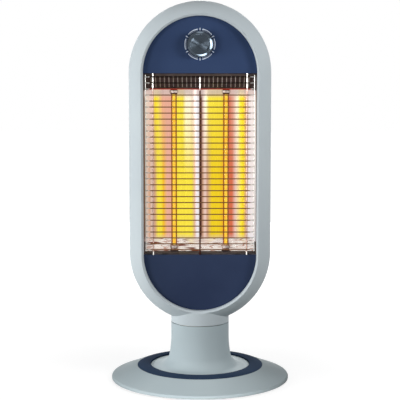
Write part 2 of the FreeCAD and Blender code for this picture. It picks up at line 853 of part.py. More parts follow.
def make_plunger():
    clip_bottom = plunger_top - size.clip_drop - size.clip_thickness
    groove_radius = size.plunger_stem_radius - size.clip_groove
    head = cylinder("plunger_button", size.plunger_radius, size.plunger_head, z=size.plunger_floor_gap)
    stem = cylinder("plunger_stem", size.plunger_stem_radius, size.plunger_length, z=size.plunger_floor_gap)
    groove = tube("plunger_groove", size.clip_radius, groove_radius, size.clip_thickness, z=clip_bottom)
    keep(cut("tip_plunger", fuse("plunger_solid", head, stem), groove), "tip_plunger")
    band = tube("clip_band_ring", size.clip_radius, groove_radius + size.running_gap / 2,
                size.clip_thickness, z=clip_bottom)
    mouth = middle_block("clip_mouth", size.plunger_stem_radius, ZERO, size.clip_radius,
                         clip_bottom, size.clip_thickness)
    keep(cut("plunger_clip", band, mouth), "plunger_clip")


def make_guide():
    bore_radius = size.plunger_radius + size.plunger_gap
    barrel = cylinder("guide_barrel", bore_radius + size.guide_wall, size.guide_height, z=plate_top)
    flange = cylinder("guide_foot", size.guide_flange, size.plate_thickness, z=plate_top)
    bore = cylinder("guide_bore", bore_radius, size.guide_height - size.guide_roof, z=plate_top)
    stem_bore = cylinder("guide_stem_bore", size.plunger_stem_radius + size.plunger_gap, size.guide_height,
                         z=plate_top)
    keep(cut("plunger_guide", fuse("guide_solid", barrel, flange), bore, stem_bore), "plunger_guide")


def make_spring():
    # A round wire wound from the button's shoulder up to the guide's roof.
    wire = float(size.spring_wire)
    radius = float(size.spring_radius)
    low = float(plunger_head_top) + wire
    rise = float(guide_roof_level) - wire - low
    steps = SPRING_TURNS * SPRING_TURN_STEPS
    angles = [2 * math.pi * i / SPRING_TURN_STEPS for i in range(steps + 1)]
    points = [
        Vec(radius * math.cos(angle), radius * math.sin(angle), rise * i / steps)
        for i, angle in enumerate(angles)
    ]
    coil = Part.BSplineCurve()
    coil.interpolate(points)
    section = Part.Wire(Part.makeCircle(wire, points[0], Vec(0, radius * angles[-1], rise)))
    obj = doc.addObject("Part::Feature", "plunger_spring")
    obj.Shape = Part.Wire(coil.toShape()).makePipeShell([section], True, True)
    obj.Placement = FreeCAD.Placement(Vec(0, 0, low), Turn())
    keep(obj, "plunger_spring")


def make_tip_switch():
    post_y = size.guide_flange + size.plunger_gap
    case_bottom = plunger_top + size.plunger_gap + size.switch_button
    case = middle_block("switch_case", size.switch_width, post_y - size.switch_length, size.switch_length,
                        case_bottom, size.switch_height)
    button = cylinder("switch_button_pin", size.switch_button_radius, size.switch_button,
                      z=case_bottom - size.switch_button)
    keep(fuse("tip_switch", case, button), "tip_switch")
    post = middle_block("bracket_post", size.bracket_width, post_y, size.bracket_sheet,
                        plate_top, case_bottom + size.switch_height - plate_top)
    toe = middle_block("bracket_toe", size.bracket_width, post_y, size.bracket_reach,
                       plate_top, size.bracket_sheet)
    keep(fuse("switch_bracket", post, toe), "switch_bracket")


# Head shells

boss_places = [
    (boss_offset * side, low_centre + size.head_straight * share)
    for side in (-1, 1) for share in BOSS_HEIGHT_SHARES
]
screw_seat = chassis_back + size.boss_floor
housing_screw_places = [(x, screw_seat, z) for x, z in boss_places]


def collar_pieces(name, front):
    # The half of the round collar that belongs to one shell, and the passage inside it.
    height = rear_bulge_centre
    post = cylinder(f"{name}_collar_post", size.neck_radius, low_centre - height - head_bottom, z=head_bottom)
    reach = size.neck_radius * 2
    near = size.split_depth - reach if front else size.split_depth
    side = middle_block(f"{name}_collar_side", reach * 2, near, reach, head_bottom, size.head_radius)
    half = doc.addObject("Part::Common", f"{name}_collar")
    half.Base = post
    half.Tool = side
    socket = cylinder(f"{name}_collar_socket", size.neck_radius - size.shell_wall, swivel_top - head_bottom,
                      z=head_bottom)
    passage = cylinder(f"{name}_collar_passage", size.ledge_bore, size.ring_width - size.shell_wall * 2,
                       z=head_bottom)
    ledge_top = swivel_top + size.collar_ledge
    throat = cylinder(f"{name}_collar_throat", size.neck_radius - size.shell_wall,
                      head_bottom + size.ring_width - size.shell_wall * 2 - ledge_top, z=ledge_top)
    return half, [socket, passage, throat]


def trimmed(name, shapes, solid):
    # The part of some posts that lies inside a solid.
    obj = doc.addObject("Part::Common", name)
    obj.Base = fuse(f"{name}_posts", *shapes)
    obj.Tool = solid
    return obj


def make_front_housing():
    split = size.split_depth
    skin = stadium_slab("front_skin", size.head_radius, split, split + front_plane, edge=size.front_bulge)
    core_body = stadium_slab("front_core", size.head_radius - size.shell_wall, split,
                             split + front_plane - size.shell_wall, edge=size.front_bulge - size.shell_wall)
    sleeve = stadium_slab("front_sleeve", opening_radius + size.shell_wall, -size.sleeve_end,
                          front_plane - size.sleeve_end + size.overrun)
    core = cut("front_hollow", core_body, sleeve)
    mouth = stadium_slab("front_mouth", opening_radius, -panel_back, front_plane - panel_back + size.overrun)
    throat = stadium_slab("front_throat", opening_radius - size.seat_width, -size.sleeve_end + size.overrun,
                          front_plane - size.sleeve_end + size.overrun * 2)
    back_mouth = stadium_slab("front_back_mouth", opening_radius, -size.sleeve_end + size.overrun,
                              panel_back - size.panel_seat - size.sleeve_end + size.overrun)
    bevel = stadium_slab("lip_bevel_tool", opening_radius + size.lip_bevel, -front_plane - size.overrun,
                         front_plane + size.overrun - lip_depth + size.lip_bevel,
                         front=False, edge=size.lip_bevel, edge_kind="Chamfer")
    window = middle_block("front_window", opening_radius * 2, -front_plane, front_plane, low_centre,
                          size.head_straight)
    collar, passages = collar_pieces("front", True)
    shell = cut("front_shell", fuse("front_solid", skin, collar), core, mouth, throat, back_mouth, bevel,
                window, *passages)
    bosses = [
        cylinder(f"front_boss_{i}", size.boss_radius, front_plane, x, -front_plane, z, "y")
        for i, (x, z) in enumerate(boss_places)
    ]
    boss_ends = [
        cylinder(f"front_boss_end_{i}", size.boss_radius, chassis_depth + size.side_front,
                 x, -size.side_front, z, "y")
        for i, (x, z) in enumerate(boss_places)
    ]
    solid = fuse("front_with_bosses", shell, trimmed("front_bosses", bosses, skin), *boss_ends)
    holes = drills("front_boss_pilot", housing_screw_places, size.housing_screw_length, "-y")
    holes += drills("front_swivel_pilot", swivel_screw_places, size.swivel_screw_length, "z")
    keep(cut("front_housing", solid, *holes), "front_housing")


def vent_slots():
    # Two banks of slots across the back, each a bar with round ends.
    banks = ((VENT_UPPER_SHARE, VENT_UPPER_COUNT), (VENT_LOWER_SHARE, VENT_LOWER_COUNT))
    slots = []
    for bank, (share, count) in enumerate(banks):
        for i in range(count):
            level = low_centre + size.head_straight * share + size.vent_pitch * i
            name = f"vent_{bank}_{i}"
            near = rear_plane - size.shell_wall - size.overrun
            depth = size.shell_wall + size.overrun * 2
            slots.append(middle_block(name, size.vent_width, near, depth, level - size.vent_height / 2,
                                      size.vent_height))
            slots += [
                cylinder(f"{name}_end_{side}", size.vent_height / 2, depth, size.vent_width * side / 2,
                         near, level, "y")
                for side in (-1, 1)
            ]
    return slots


def make_rear_cover():
    depth = rear_plane - size.split_depth
    skin = stadium_slab("rear_skin", size.head_radius, size.split_depth, depth, front=False,
                        edge=size.rear_bulge)
    core = stadium_slab("rear_core", size.head_radius - size.shell_wall, size.split_depth,
                        depth - size.shell_wall, front=False, edge=size.rear_bulge - size.shell_wall)
    collar, passages = collar_pieces("rear", False)
    shell = cut("rear_shell", fuse("rear_solid", skin, collar), core, *passages)
    well_length = rear_plane - screw_seat
    wall = size.boss_well_radius + size.shell_wall / 2
    posts = [
        cylinder(f"rear_post_{i}", wall, rear_plane - chassis_back, x, chassis_back, z, "y")
        for i, (x, z) in enumerate(boss_places)
    ]
    wells = [
        cylinder(f"rear_well_{i}", size.boss_well_radius, well_length, x, screw_seat, z, "y")
        for i, (x, z) in enumerate(boss_places)
    ]
    holes = drills("rear_hole", housing_screw_places, size.boss_floor, "-y")
    holes += drills("rear_swivel_pilot", swivel_screw_places, size.swivel_screw_length, "z")
    solid = fuse("rear_with_posts", shell, trimmed("rear_posts", posts, skin))
    keep(cut("rear_cover", solid, *wells, *holes, *vent_slots()), "rear_cover")
    screws("housing_screws", housing_screw_places, size.housing_screw_length, "-y")


def half_disc(name, level, way):
    # A half-round plate behind the lip; way is 1 for the upper panel and -1 for the lower one.
    body = new_body(name)
    sketch = sketch_on(body, f"{name}_outline", "XZ_Plane")
    radius = opening_radius - size.panel_gap
    r = float(radius)
    start = 0 if way > 0 else math.pi
    circle = Part.Circle(Vec(0, 0, 0), Vec(0, 0, 1), r)
    arc = sketch.addGeometry(Part.ArcOfCircle(circle, start, start + math.pi))
    line = sketch.addGeometry(Part.LineSegment(Vec(-r * way, 0, 0), Vec(r * way, 0, 0)))
    sketch.addConstraint(Sketcher.Constraint("Coincident", arc, 2, line, 1))
    sketch.addConstraint(Sketcher.Constraint("Coincident", line, 2, arc, 1))
    sketch.addConstraint(Sketcher.Constraint("Coincident", arc, 3, -1, 1))
    sketch.addConstraint(Sketcher.Constraint("PointOnObject", arc, 1, -1))
    sketch.addConstraint(Sketcher.Constraint("Horizontal", line))
    set_radius(sketch, arc, radius)
    pad_sketch(body, sketch, f"{name}_pad", size.panel_thickness)
    return place(body, y=-panel_back, z=level)


def make_panels():
    upper = half_disc("upper_panel_blank", top_centre, 1)
    hole = cylinder("upper_panel_hole", size.selector_bush_radius + size.running_gap, size.panel_thickness,
                    y=-size.panel_face, z=knob_height_level, axis="y")
    keep(cut("upper_panel", upper, hole), "upper_panel")
    keep(half_disc("lower_panel", low_centre, -1), "lower_panel")


# Radiant window

def make_chassis():
    span = (boss_offset + size.boss_radius) * 2
    sheet_body = middle_block("chassis_sheet_blank", span, chassis_depth, size.chassis_sheet,
                              low_centre - size.chassis_margin,
                              size.head_straight + size.chassis_margin * 2)
    holes = drills("chassis_hole", [(x, chassis_back, z) for x, z in boss_places], size.chassis_sheet, "-y")
    keep(cut("chassis_plate", sheet_body, *holes), "chassis_plate")


def parabola(start, end, start_slope):
    # A parabola from one point to another that leaves the first with the slope given.
    middle = (start.x + end.x) / 2
    control = Vec(middle, start.y + start_slope * (middle - start.x), 0)
    curve = Part.BezierCurve()
    curve.setPoles([start, control, end])
    return curve.toShape()


def reflector_section(side):
    # The sheet in plan, from the middle ridge, round the tube, to the outer flange.
    tube_x = float(tube_offset)
    tube_y = -float(size.tube_depth)
    focus = float(trough_depth)
    ridge_x = float(ridge_width)
    ridge_reach = ridge_x - tube_x
    ridge_slope = -ridge_reach / (2 * focus)
    ridge_end = Vec(ridge_x, tube_y + focus - ridge_reach ** 2 / (4 * focus), 0)
    ridge_top = Vec(float(size.reflector_seam) / 2, tube_y + float(ridge_depth), 0)
    ridge_turn = Vec(ridge_x - (ridge_end.y - ridge_top.y) / ridge_slope, ridge_top.y, 0)
    ridge = Part.BezierCurve()
    ridge.setPoles([ridge_top, ridge_turn, ridge_end])

    bottom = Vec(tube_x, tube_y + focus, 0)
    flat_reach = float(trough_flat)
    flat_depth = focus - float(size.trough_flat_rise)
    flat_end = Vec(tube_x + flat_reach, tube_y + flat_depth, 0)
    outer_focus = (flat_depth + math.hypot(flat_depth, flat_reach)) / 2
    outer_reach = float(trough_outer)
    outer_end = Vec(tube_x + outer_reach, tube_y + outer_focus - outer_reach ** 2 / (4 * outer_focus), 0)
    flange_end = Vec(float(flange_edge), -float(panel_back), 0)
    edges = [
        ridge.toShape(),
        parabola(ridge_end, bottom, ridge_slope),
        Part.makeLine(bottom, flat_end),
        parabola(flat_end, outer_end, -flat_reach / (2 * outer_focus)),
        Part.makeLine(outer_end, flange_end),
    ]
    back = Vec(0, float(size.sheet_metal), 0)
    ends = [Part.makeLine(point, point + back) for point in (ridge_top, flange_end)]
    loop = Part.sortEdges(edges + [edge.translated(back) for edge in edges] + ends)[0]
    section = Part.Face(Part.Wire(loop))
    return section if side > 0 else section.mirror(Vec(0, 0, 0), Vec(1, 0, 0))


def make_reflectors():
    for side, label in ((-1, "reflector_left"), (1, "reflector_right")):
        trough = reflector_section(side).extrude(Vec(0, 0, float(reflector_top - reflector_bottom)))
        arm = float(size.clip_arm + size.slot_gap * 2)
        notch = Part.makeBox(arm, float(trough_depth), float(size.clip_height + size.slot_gap * 2),
                             Vec(float(tube_offset) * side - arm / 2, 0,
                                 float(upper_clip_bottom - size.slot_gap - reflector_bottom)))
        obj = doc.addObject("Part::Feature", label)
        obj.Shape = trough.cut(notch)
        obj.Placement = FreeCAD.Placement(Vec(0, 0, float(reflector_bottom)), Turn())
        keep(obj, label)


def make_louvre():
    # A slotted strip that leans back from the upper panel's edge to the top of the reflectors.
    run = float(size.louvre_slope_run)
    drop = float(size.louvre_drop)
    slant = root(size.louvre_slope_run * size.louvre_slope_run + size.louvre_drop * size.louvre_drop)
    half = opening_radius - size.flange_gap
    body = new_body("vent_louvre")
    sketch = sketch_on(body, "louvre_outline", "XY_Plane")
    outline(sketch, [(-half, ZERO), (half, ZERO), (half, slant), (-half, slant)])
    pad_sketch(body, sketch, "louvre_pad", size.louvre_sheet)
    slot_sketch = sketch_on(body, "louvre_slot_outline", "XY_Plane")
    left = -louvre_slot_pitch * (LOUVRE_SLOT_COUNT - 1) / 2 - louvre_slot_width / 2
    right = left + louvre_slot_width
    low = size.louvre_slot_margin
    high = slant - size.louvre_slot_margin
    outline(slot_sketch, [(left, low), (right, low), (right, high), (left, high)])
    pocket = pad_sketch(body, slot_sketch, "louvre_slot", size.louvre_sheet, "Pocket", True)
    row_of(body, pocket, "louvre_slots", "X_Axis", louvre_slot_pitch, LOUVRE_SLOT_COUNT)
    lean = math.degrees(math.atan2(-drop, run))
    corner = Vec(0, -float(panel_back), float(top_centre - size.louvre_sheet))
    body.Placement = FreeCAD.Placement(corner, Turn(Vec(1, 0, 0), lean))
    keep(body, "vent_louvre")


lower_cap_bottom = tube_bottom - size.cap_floor
upper_cap_bottom = tube_top + size.cap_floor - size.cap_length
lower_clip_bottom = lower_cap_bottom + size.clip_inset
upper_clip_bottom = upper_cap_bottom + size.clip_inset


def make_sill_and_lower_reflector():
    sill_top = low_centre + size.sill_thickness
    keep(middle_block("window_sill", flange_edge * 2, -panel_back, size.sill_depth, low_centre,
                      size.sill_thickness), "window_sill")
    # The lower end of the troughs is closed by a sheet that leans back up from the sill.
    start_y = float(size.sill_depth - panel_back)
    rise = float(reflector_bottom - sill_top)
    run = float(chassis_depth) - start_y
    thick = float(size.sheet_metal)
    across = thick * math.hypot(run, rise) / rise
    half = float(flange_edge)
    corners = [
        Vec(-half, start_y, float(sill_top)),
        Vec(-half, start_y + run - across, float(reflector_bottom)),
        Vec(-half, start_y + run, float(reflector_bottom)),
        Vec(-half, start_y + across, float(sill_top)),
    ]
    lean = Part.Face(Part.makePolygon(corners + corners[:1])).extrude(Vec(2 * half, 0, 0))
    for side in (-1, 1):
        x = float(tube_offset) * side
        y = -float(size.tube_depth)
        gap = float(size.slot_gap)
        seat = Part.makeCylinder(float(size.cap_radius + size.clip_band) + gap, float(size.head_straight),
                                 Vec(x, y, float(sill_top)))
        arm = float(size.clip_arm) + 2 * gap
        slot = Part.makeBox(arm, float(chassis_depth) - y, float(size.clip_height) + 2 * gap,
                            Vec(x - arm / 2, y, float(lower_clip_bottom) - gap))
        lean = lean.cut(seat).cut(slot)
    obj = doc.addObject("Part::Feature", "lower_reflector")
    obj.Shape = lean
    keep(obj, "lower_reflector")


def make_tubes():
    upper_caps, lower_caps, clips = [], [], []
    for side, word in ((-1, "left"), (1, "right")):
        x = tube_offset * side
        y = -size.tube_depth
        length = tube_top - tube_bottom
        keep(tube(f"quartz_tube_{word}", size.tube_radius, size.tube_radius - size.tube_wall, length,
                  x, y, tube_bottom), f"quartz_tube_{word}")
        strip = block(f"filament_{word}", size.filament_width, size.filament_thickness, length,
                      x - size.filament_width / 2, y - size.filament_thickness / 2, tube_bottom)
        keep(strip, f"filament_{word}")
        bore = size.tube_radius + size.tube_fit
        depth = size.cap_length - size.cap_floor
        for caps, bottom, bore_bottom in (
            (lower_caps, lower_cap_bottom, tube_bottom),
            (upper_caps, upper_cap_bottom, upper_cap_bottom),
        ):
            name = f"cap_{word}_{len(lower_caps)}_{len(upper_caps)}"
            cup = cylinder(f"{name}_cup", size.cap_radius, size.cap_length, x, y, bottom)
            caps.append(cut(name, cup, cylinder(f"{name}_bore", bore, depth, x, y, bore_bottom)))
        for bottom, place_word in ((lower_clip_bottom, "low"), (upper_clip_bottom, "high")):
            name = f"tube_clip_{word}_{place_word}"
            outer = size.cap_radius + size.clip_band
            band = tube(f"{name}_band", outer, size.cap_radius, size.clip_height, x, y, bottom)
            arm_start = y + size.cap_radius + size.clip_band / 2
            arm = middle_block(f"{name}_arm", size.clip_arm, arm_start, chassis_depth - arm_start,
                               bottom, size.clip_height, x)
            clips.append(fuse(name, band, arm))
    keep(group("upper_tube_caps", upper_caps), "upper_tube_caps")
    keep(group("lower_tube_caps", lower_caps), "lower_tube_caps")
    keep(group("tube_clips", clips), "tube_clips")


def bent_wire(points, bend, radius):
    # A round wire along straight runs joined by bends of one radius.
    edges = []
    start = points[0]
    for here, corner, there in zip(points, points[1:], points[2:]):
        into = (corner - here).normalize()
        out = (there - corner).normalize()
        turn = into.getAngle(out)
        back = bend * math.tan(turn / 2)
        first = corner - into * back
        last = corner + out * back
        inward = (out - into).normalize()
        middle = corner + inward * (bend / math.cos(turn / 2) - bend)
        edges += [Part.makeLine(start, first), Part.Arc(first, middle, last).toShape()]
        start = last
    edges.append(Part.makeLine(start, points[-1]))
    section = Part.Wire(Part.makeCircle(radius, points[0], points[1] - points[0]))
    return Part.Wire(edges).makePipeShell([section], True, False)


def make_guard():
    # Cross wires bent back at both sides, welded to three front uprights and two side uprights.
    wire_radius = float(size.guard_wire_radius)
    upright_radius = float(size.guard_upright_radius)
    weld = float(size.guard_weld)
    upright_y = -float(panel_back) - upright_radius - weld
    wire_y = upright_y - upright_radius - wire_radius + weld
    side_x, side_y = float(guard_side_x), -float(size.guard_side_depth)
    bend_x = float(guard_bend_x)
    first = float(size.guard_first_rise)
    pitch = float(guard_pitch)
    inset = float(size.guard_side_inset)
    up = Vec(0, 0, 1)
    pieces = []
    tall = float(size.head_straight)
    upright_x = float(guard_upright_x)
    uprights = ((-upright_x, tall), (0, tall - float(size.guard_centre_drop)), (upright_x, tall))
    for x, height in uprights:
        pieces.append(Part.makeCylinder(upright_radius, height, Vec(x, upright_y, 0), up))
    side_length = pitch * (GUARD_WIRE_COUNT - 1) + 2 * inset
    for x in (-side_x, side_x):
        pieces.append(Part.makeCylinder(wire_radius, side_length, Vec(x, side_y, first - inset), up))
    for i in range(GUARD_WIRE_COUNT):
        z = first + pitch * i
        corners = ((-side_x, side_y), (-bend_x, wire_y), (bend_x, wire_y), (side_x, side_y))
        route = [Vec(x, y, z) for x, y in corners]
        pieces.append(bent_wire(route, float(size.guard_bend_round), wire_radius))
    obj = doc.addObject("Part::Feature", "wire_guard")
    obj.Shape = pieces[0].multiFuse(pieces[1:])
    obj.Placement = FreeCAD.Placement(Vec(0, 0, float(low_centre)), Turn())
    keep(obj, "wire_guard")


# Selector and electrics

def make_selector():
    case = cylinder("selector_case", size.selector_radius, size.selector_depth,
                    y=-panel_back, z=knob_height_level, axis="y")
    bush = cylinder("selector_bush_post", size.selector_bush_radius, size.selector_bush,
                    y=-panel_back - size.selector_bush, z=knob_height_level, axis="y")
    bore = cylinder("selector_bore", size.selector_shaft_radius + size.running_gap / 2,
                    size.selector_bush + size.selector_shaft_engage + size.running_gap,
                    y=-panel_back - size.selector_bush, z=knob_height_level, axis="y")
    keep(cut("selector_switch", fuse("selector_solid", case, bush), bore), "selector_switch")
    keep(tube("switch_nut", size.nut_radius, size.selector_bush_radius + size.running_gap / 2,
              size.nut_thickness, y=-size.panel_face - size.nut_thickness, z=knob_height_level, axis="y"),
         "switch_nut")


def make_knob():
    knob_back = -size.panel_face - size.knob_gap
    roof = size.knob_height - size.knob_roof
    bore = size.selector_shaft_radius + size.tube_fit
    edge_level = size.knob_height - size.knob_edge
    cap_radius = size.knob_face_radius - size.knob_cap_inset
    cap_floor = size.knob_height - size.knob_cap_recess
    hub_start = size.selector_bush - size.panel_thickness
    body = revolved("control_knob", [
        (size.knob_radius, ZERO),
        (size.knob_radius, size.knob_skirt),
        (size.knob_waist_radius, edge_level, size.knob_radius, 1),
        (size.knob_face_radius, size.knob_height),
        (cap_radius, size.knob_height),
        (cap_radius, cap_floor),
        (bore, cap_floor),
        (bore, hub_start),
        (size.knob_hub_radius, hub_start),
        (size.knob_hub_radius, roof),
        (size.knob_face_radius - size.knob_wall, roof),
        (size.knob_waist_radius - size.knob_wall, size.knob_skirt),
        (size.knob_radius - size.knob_wall, ZERO),
    ])
    turn = AXIS_TURNS["-y"]
    keep(place(body, y=knob_back, z=knob_height_level, turn=turn), "control_knob")

    disc = cylinder("knob_cap_disc", cap_radius - size.tube_fit, size.knob_cap_recess,
                    y=knob_back - cap_floor, z=knob_height_level, axis="-y")
    grip = block("knob_grip", cap_radius * 2 - size.grip_width / 2, size.grip_height, size.grip_width)
    half = (cap_radius * 2 - size.grip_width / 2) / 2
    lean = 90 - KNOB_REST_ANGLE
    cosine, sine = [round(f(math.radians(lean)), 12) for f in (math.cos, math.sin)]
    grip_turn = Turn(Vec(0, 1, 0), lean)
    corner_x = -half * cosine - size.grip_width / 2 * sine
    corner_z = half * sine - size.grip_width / 2 * cosine
    grip_front = knob_back - size.knob_height - size.grip_height
    place(grip, corner_x, grip_front, knob_height_level + corner_z, grip_turn)
    rounded = doc.addObject("Part::Fillet", "knob_grip_round")
    rounded.Base = grip
    doc.recompute()
    front = grip.Shape.BoundBox.YMin
    round_radius = float(size.grip_round)
    rounded.Edges = [
        (i, round_radius, round_radius) for i, e in enumerate(grip.Shape.Edges, start=1)
        if abs(e.BoundBox.YMax - front) < round_radius
    ]
    keep(fuse("knob_cap", disc, rounded), "knob_cap")

    shaft_end = knob_back - cap_floor
    shaft_start = size.selector_shaft_engage - panel_back
    keep(cylinder("selector_shaft", size.selector_shaft_radius, shaft_start - shaft_end,
                  y=shaft_end, z=knob_height_level, axis="y"), "selector_shaft")


def make_electrics():
    keep(cylinder("thermal_cutout", size.cutout_radius, size.cutout_height, size.cutout_offset, chassis_back,
                  low_centre + size.head_straight * CUTOUT_HEIGHT_SHARE, "y"), "thermal_cutout")
    keep(middle_block("terminal_block", size.terminal_width, chassis_back, size.terminal_depth,
                      low_centre + size.head_straight * TERMINAL_HEIGHT_SHARE, size.terminal_height),
         "terminal_block")


def build():
    make_base_shell()
    make_accent_ring()
    make_base_plate()
    make_feet()
    make_ballast()
    make_cord_gland()
    make_pedestal()
    make_motor()
    make_crank()
    make_swivel()
    make_plunger()
    make_guide()
    make_spring()
    make_tip_switch()
    make_front_housing()
    make_rear_cover()
    make_panels()
    make_chassis()
    make_reflectors()
    make_louvre()
    make_sill_and_lower_reflector()
    make_tubes()
    make_guard()
    make_selector()
    make_knob()
    make_electrics()
    doc.recompute()


def check_and_write():
    faults = [f"{o.Label}: {o.State}" for o in doc.Objects if "Invalid" in o.State or "Error" in o.State]
    for obj in nodes:
        if obj.Shape.isNull() or not obj.Shape.isValid() or not obj.Shape.Solids:
            faults.append(f"{obj.Label}: shape is not a valid solid")
    if faults:
        raise RuntimeError("; ".join(faults))
    os.makedirs("parts", exist_ok=True)
    for obj in nodes:
        obj.Shape.exportStep(f"parts/{obj.Label}.step")
        print(obj.Label, len(obj.Shape.Solids), "solid(s)", round(obj.Shape.Volume), "mm3")


build()
check_and_write()
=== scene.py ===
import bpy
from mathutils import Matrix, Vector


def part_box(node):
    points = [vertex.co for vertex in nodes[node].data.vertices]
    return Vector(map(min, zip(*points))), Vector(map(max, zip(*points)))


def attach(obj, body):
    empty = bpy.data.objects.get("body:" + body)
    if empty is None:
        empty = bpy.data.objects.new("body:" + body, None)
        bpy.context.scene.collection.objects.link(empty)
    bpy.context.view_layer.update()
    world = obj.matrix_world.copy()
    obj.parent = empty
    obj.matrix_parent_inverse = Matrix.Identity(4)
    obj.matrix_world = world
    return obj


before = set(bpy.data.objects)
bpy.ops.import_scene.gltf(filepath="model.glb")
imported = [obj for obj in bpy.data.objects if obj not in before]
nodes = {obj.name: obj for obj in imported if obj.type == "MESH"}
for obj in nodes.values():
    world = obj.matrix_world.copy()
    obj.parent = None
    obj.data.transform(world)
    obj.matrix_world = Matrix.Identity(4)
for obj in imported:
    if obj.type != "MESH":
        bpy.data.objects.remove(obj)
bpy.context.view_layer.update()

import math

import bmesh
import bpy
from mathutils import Vector

scene = bpy.context.scene
scene.view_settings.view_transform = "Standard"
print("frame loaded,", len(nodes), "nodes")


# small helpers

def tint(red, green, blue):
    # screen colour, 0 to 255, as Blender's linear colour
    linear = []
    for value in (red, green, blue):
        c = value / 255
        linear.append(c / 12.92 if c <= 0.04045 else ((c + 0.055) / 1.055) ** 2.4)
    return (*linear, 1.0)


def add(tree, kind, inputs=None, **traits):
    made = tree.nodes.new("ShaderNode" + kind)
    for key, value in traits.items():
        setattr(made, key, value)
    for key, value in (inputs or {}).items():
        made.inputs[key].default_value = value
    return made


def join(tree, source, target):
    tree.links.new(source, target)


def startMaterial(name):
    mat = bpy.data.materials.new(name)
    mat.use_nodes = True
    tree = mat.node_tree
    tree.nodes.clear()
    out = tree.nodes.new("ShaderNodeOutputMaterial")
    skin = add(tree, "BsdfPrincipled")
    join(tree, skin.outputs["BSDF"], out.inputs["Surface"])
    return mat, tree, skin


def ramp(tree, source, stops):
    made = add(tree, "ValToRGB")
    band = made.color_ramp
    while len(band.elements) < len(stops):
        band.elements.new(1.0)
    for element, (place, colour) in zip(band.elements, stops):
        element.position = place
        element.color = colour
    join(tree, source, made.inputs["Fac"])
    return made.outputs["Color"]


def spread(tree, source, low, high, fromLow=0.0, fromHigh=1.0):
    # low and high are what comes out, fromLow and fromHigh what goes in
    made = add(tree, "MapRange", {"From Min": fromLow, "From Max": fromHigh, "To Min": low, "To Max": high})
    join(tree, source, made.inputs["Value"])
    return made.outputs["Result"]


def sums(tree, what, first, second):
    made = add(tree, "Math", operation=what)
    for socket, value in zip(made.inputs, (first, second)):
        if isinstance(value, (int, float)):
            socket.default_value = value
        elif value is not None:
            join(tree, value, socket)
    return made.outputs["Value"]


mixSockets = {"share": 0, "first": 6, "second": 7, "out": 2}  # the colour sockets of the Mix node


def blend(tree, share, first, second, how="MIX"):
    # mix of two colours: each of the three is a fixed value or a socket
    made = add(tree, "Mix", data_type="RGBA", blend_type=how)
    for key, value in (("share", share), ("first", first), ("second", second)):
        socket = made.inputs[mixSockets[key]]
        if isinstance(value, (float, tuple)):
            socket.default_value = value
        else:
            join(tree, value, socket)
    return made.outputs[mixSockets["out"]]


def noise(tree, scale, detail=3.0, stretch=None):
    place = add(tree, "TexCoord")
    where = place.outputs["Object"]
    if stretch:
        shaped = add(tree, "Mapping", {"Scale": stretch})
        join(tree, where, shaped.inputs["Vector"])
        where = shaped.outputs["Vector"]
    made = add(tree, "TexNoise", {"Scale": scale, "Detail": detail})
    join(tree, where, made.inputs["Vector"])
    return made.outputs["Fac"]


bevelSamples = 4


def relief(tree, skin, height, strength, depth, edge=0.0):
    # bump, over edges softened by the bevel node
    bump = add(tree, "Bump", {"Strength": strength, "Distance": depth})
    join(tree, height, bump.inputs["Height"])
    if edge:
        soft = add(tree, "Bevel", {"Radius": edge}, samples=bevelSamples)
        join(tree, soft.outputs["Normal"], bump.inputs["Normal"])
    join(tree, bump.outputs["Normal"], skin.inputs["Normal"])


def axes(tree):
    place = add(tree, "TexCoord")
    split = add(tree, "SeparateXYZ")
    join(tree, place.outputs["Object"], split.inputs["Vector"])
    return split.outputs


# finishes that several pieces share: a cloudy colour, a roughness range and a fine relief

cloudLook = {"cloudDetail": 4.0, "grainDetail": 2.0, "darkTo": 0.3, "lightFrom": 0.7}


def moulded(name, look):
    mat, tree, skin = startMaterial(name)
    cloud = noise(tree, look["cloud"], cloudLook["cloudDetail"], look.get("drawn"))
    grain = noise(tree, look["grain"], cloudLook["grainDetail"], look.get("stretch"))
    colour = ramp(tree, cloud, [(cloudLook["darkTo"], look["dark"]), (cloudLook["lightFrom"], look["light"])])
    join(tree, colour, skin.inputs["Base Color"])
    join(tree, spread(tree, grain, *look["roughness"]), skin.inputs["Roughness"])
    skin.inputs["Metallic"].default_value = look.get("metal", 0.0)
    skin.inputs["Specular IOR Level"].default_value = look.get("shine", 0.5)
    # a faint painted glow, for the finishes that carry one
    if "paintedGlow" in look:
        skin.inputs["Emission Color"].default_value = look["paintedGlowTint"]
        skin.inputs["Emission Strength"].default_value = look["paintedGlow"]
    relief(tree, skin, grain, look["relief"], look["depth"], look.get("edge", 0.0))
    return mat


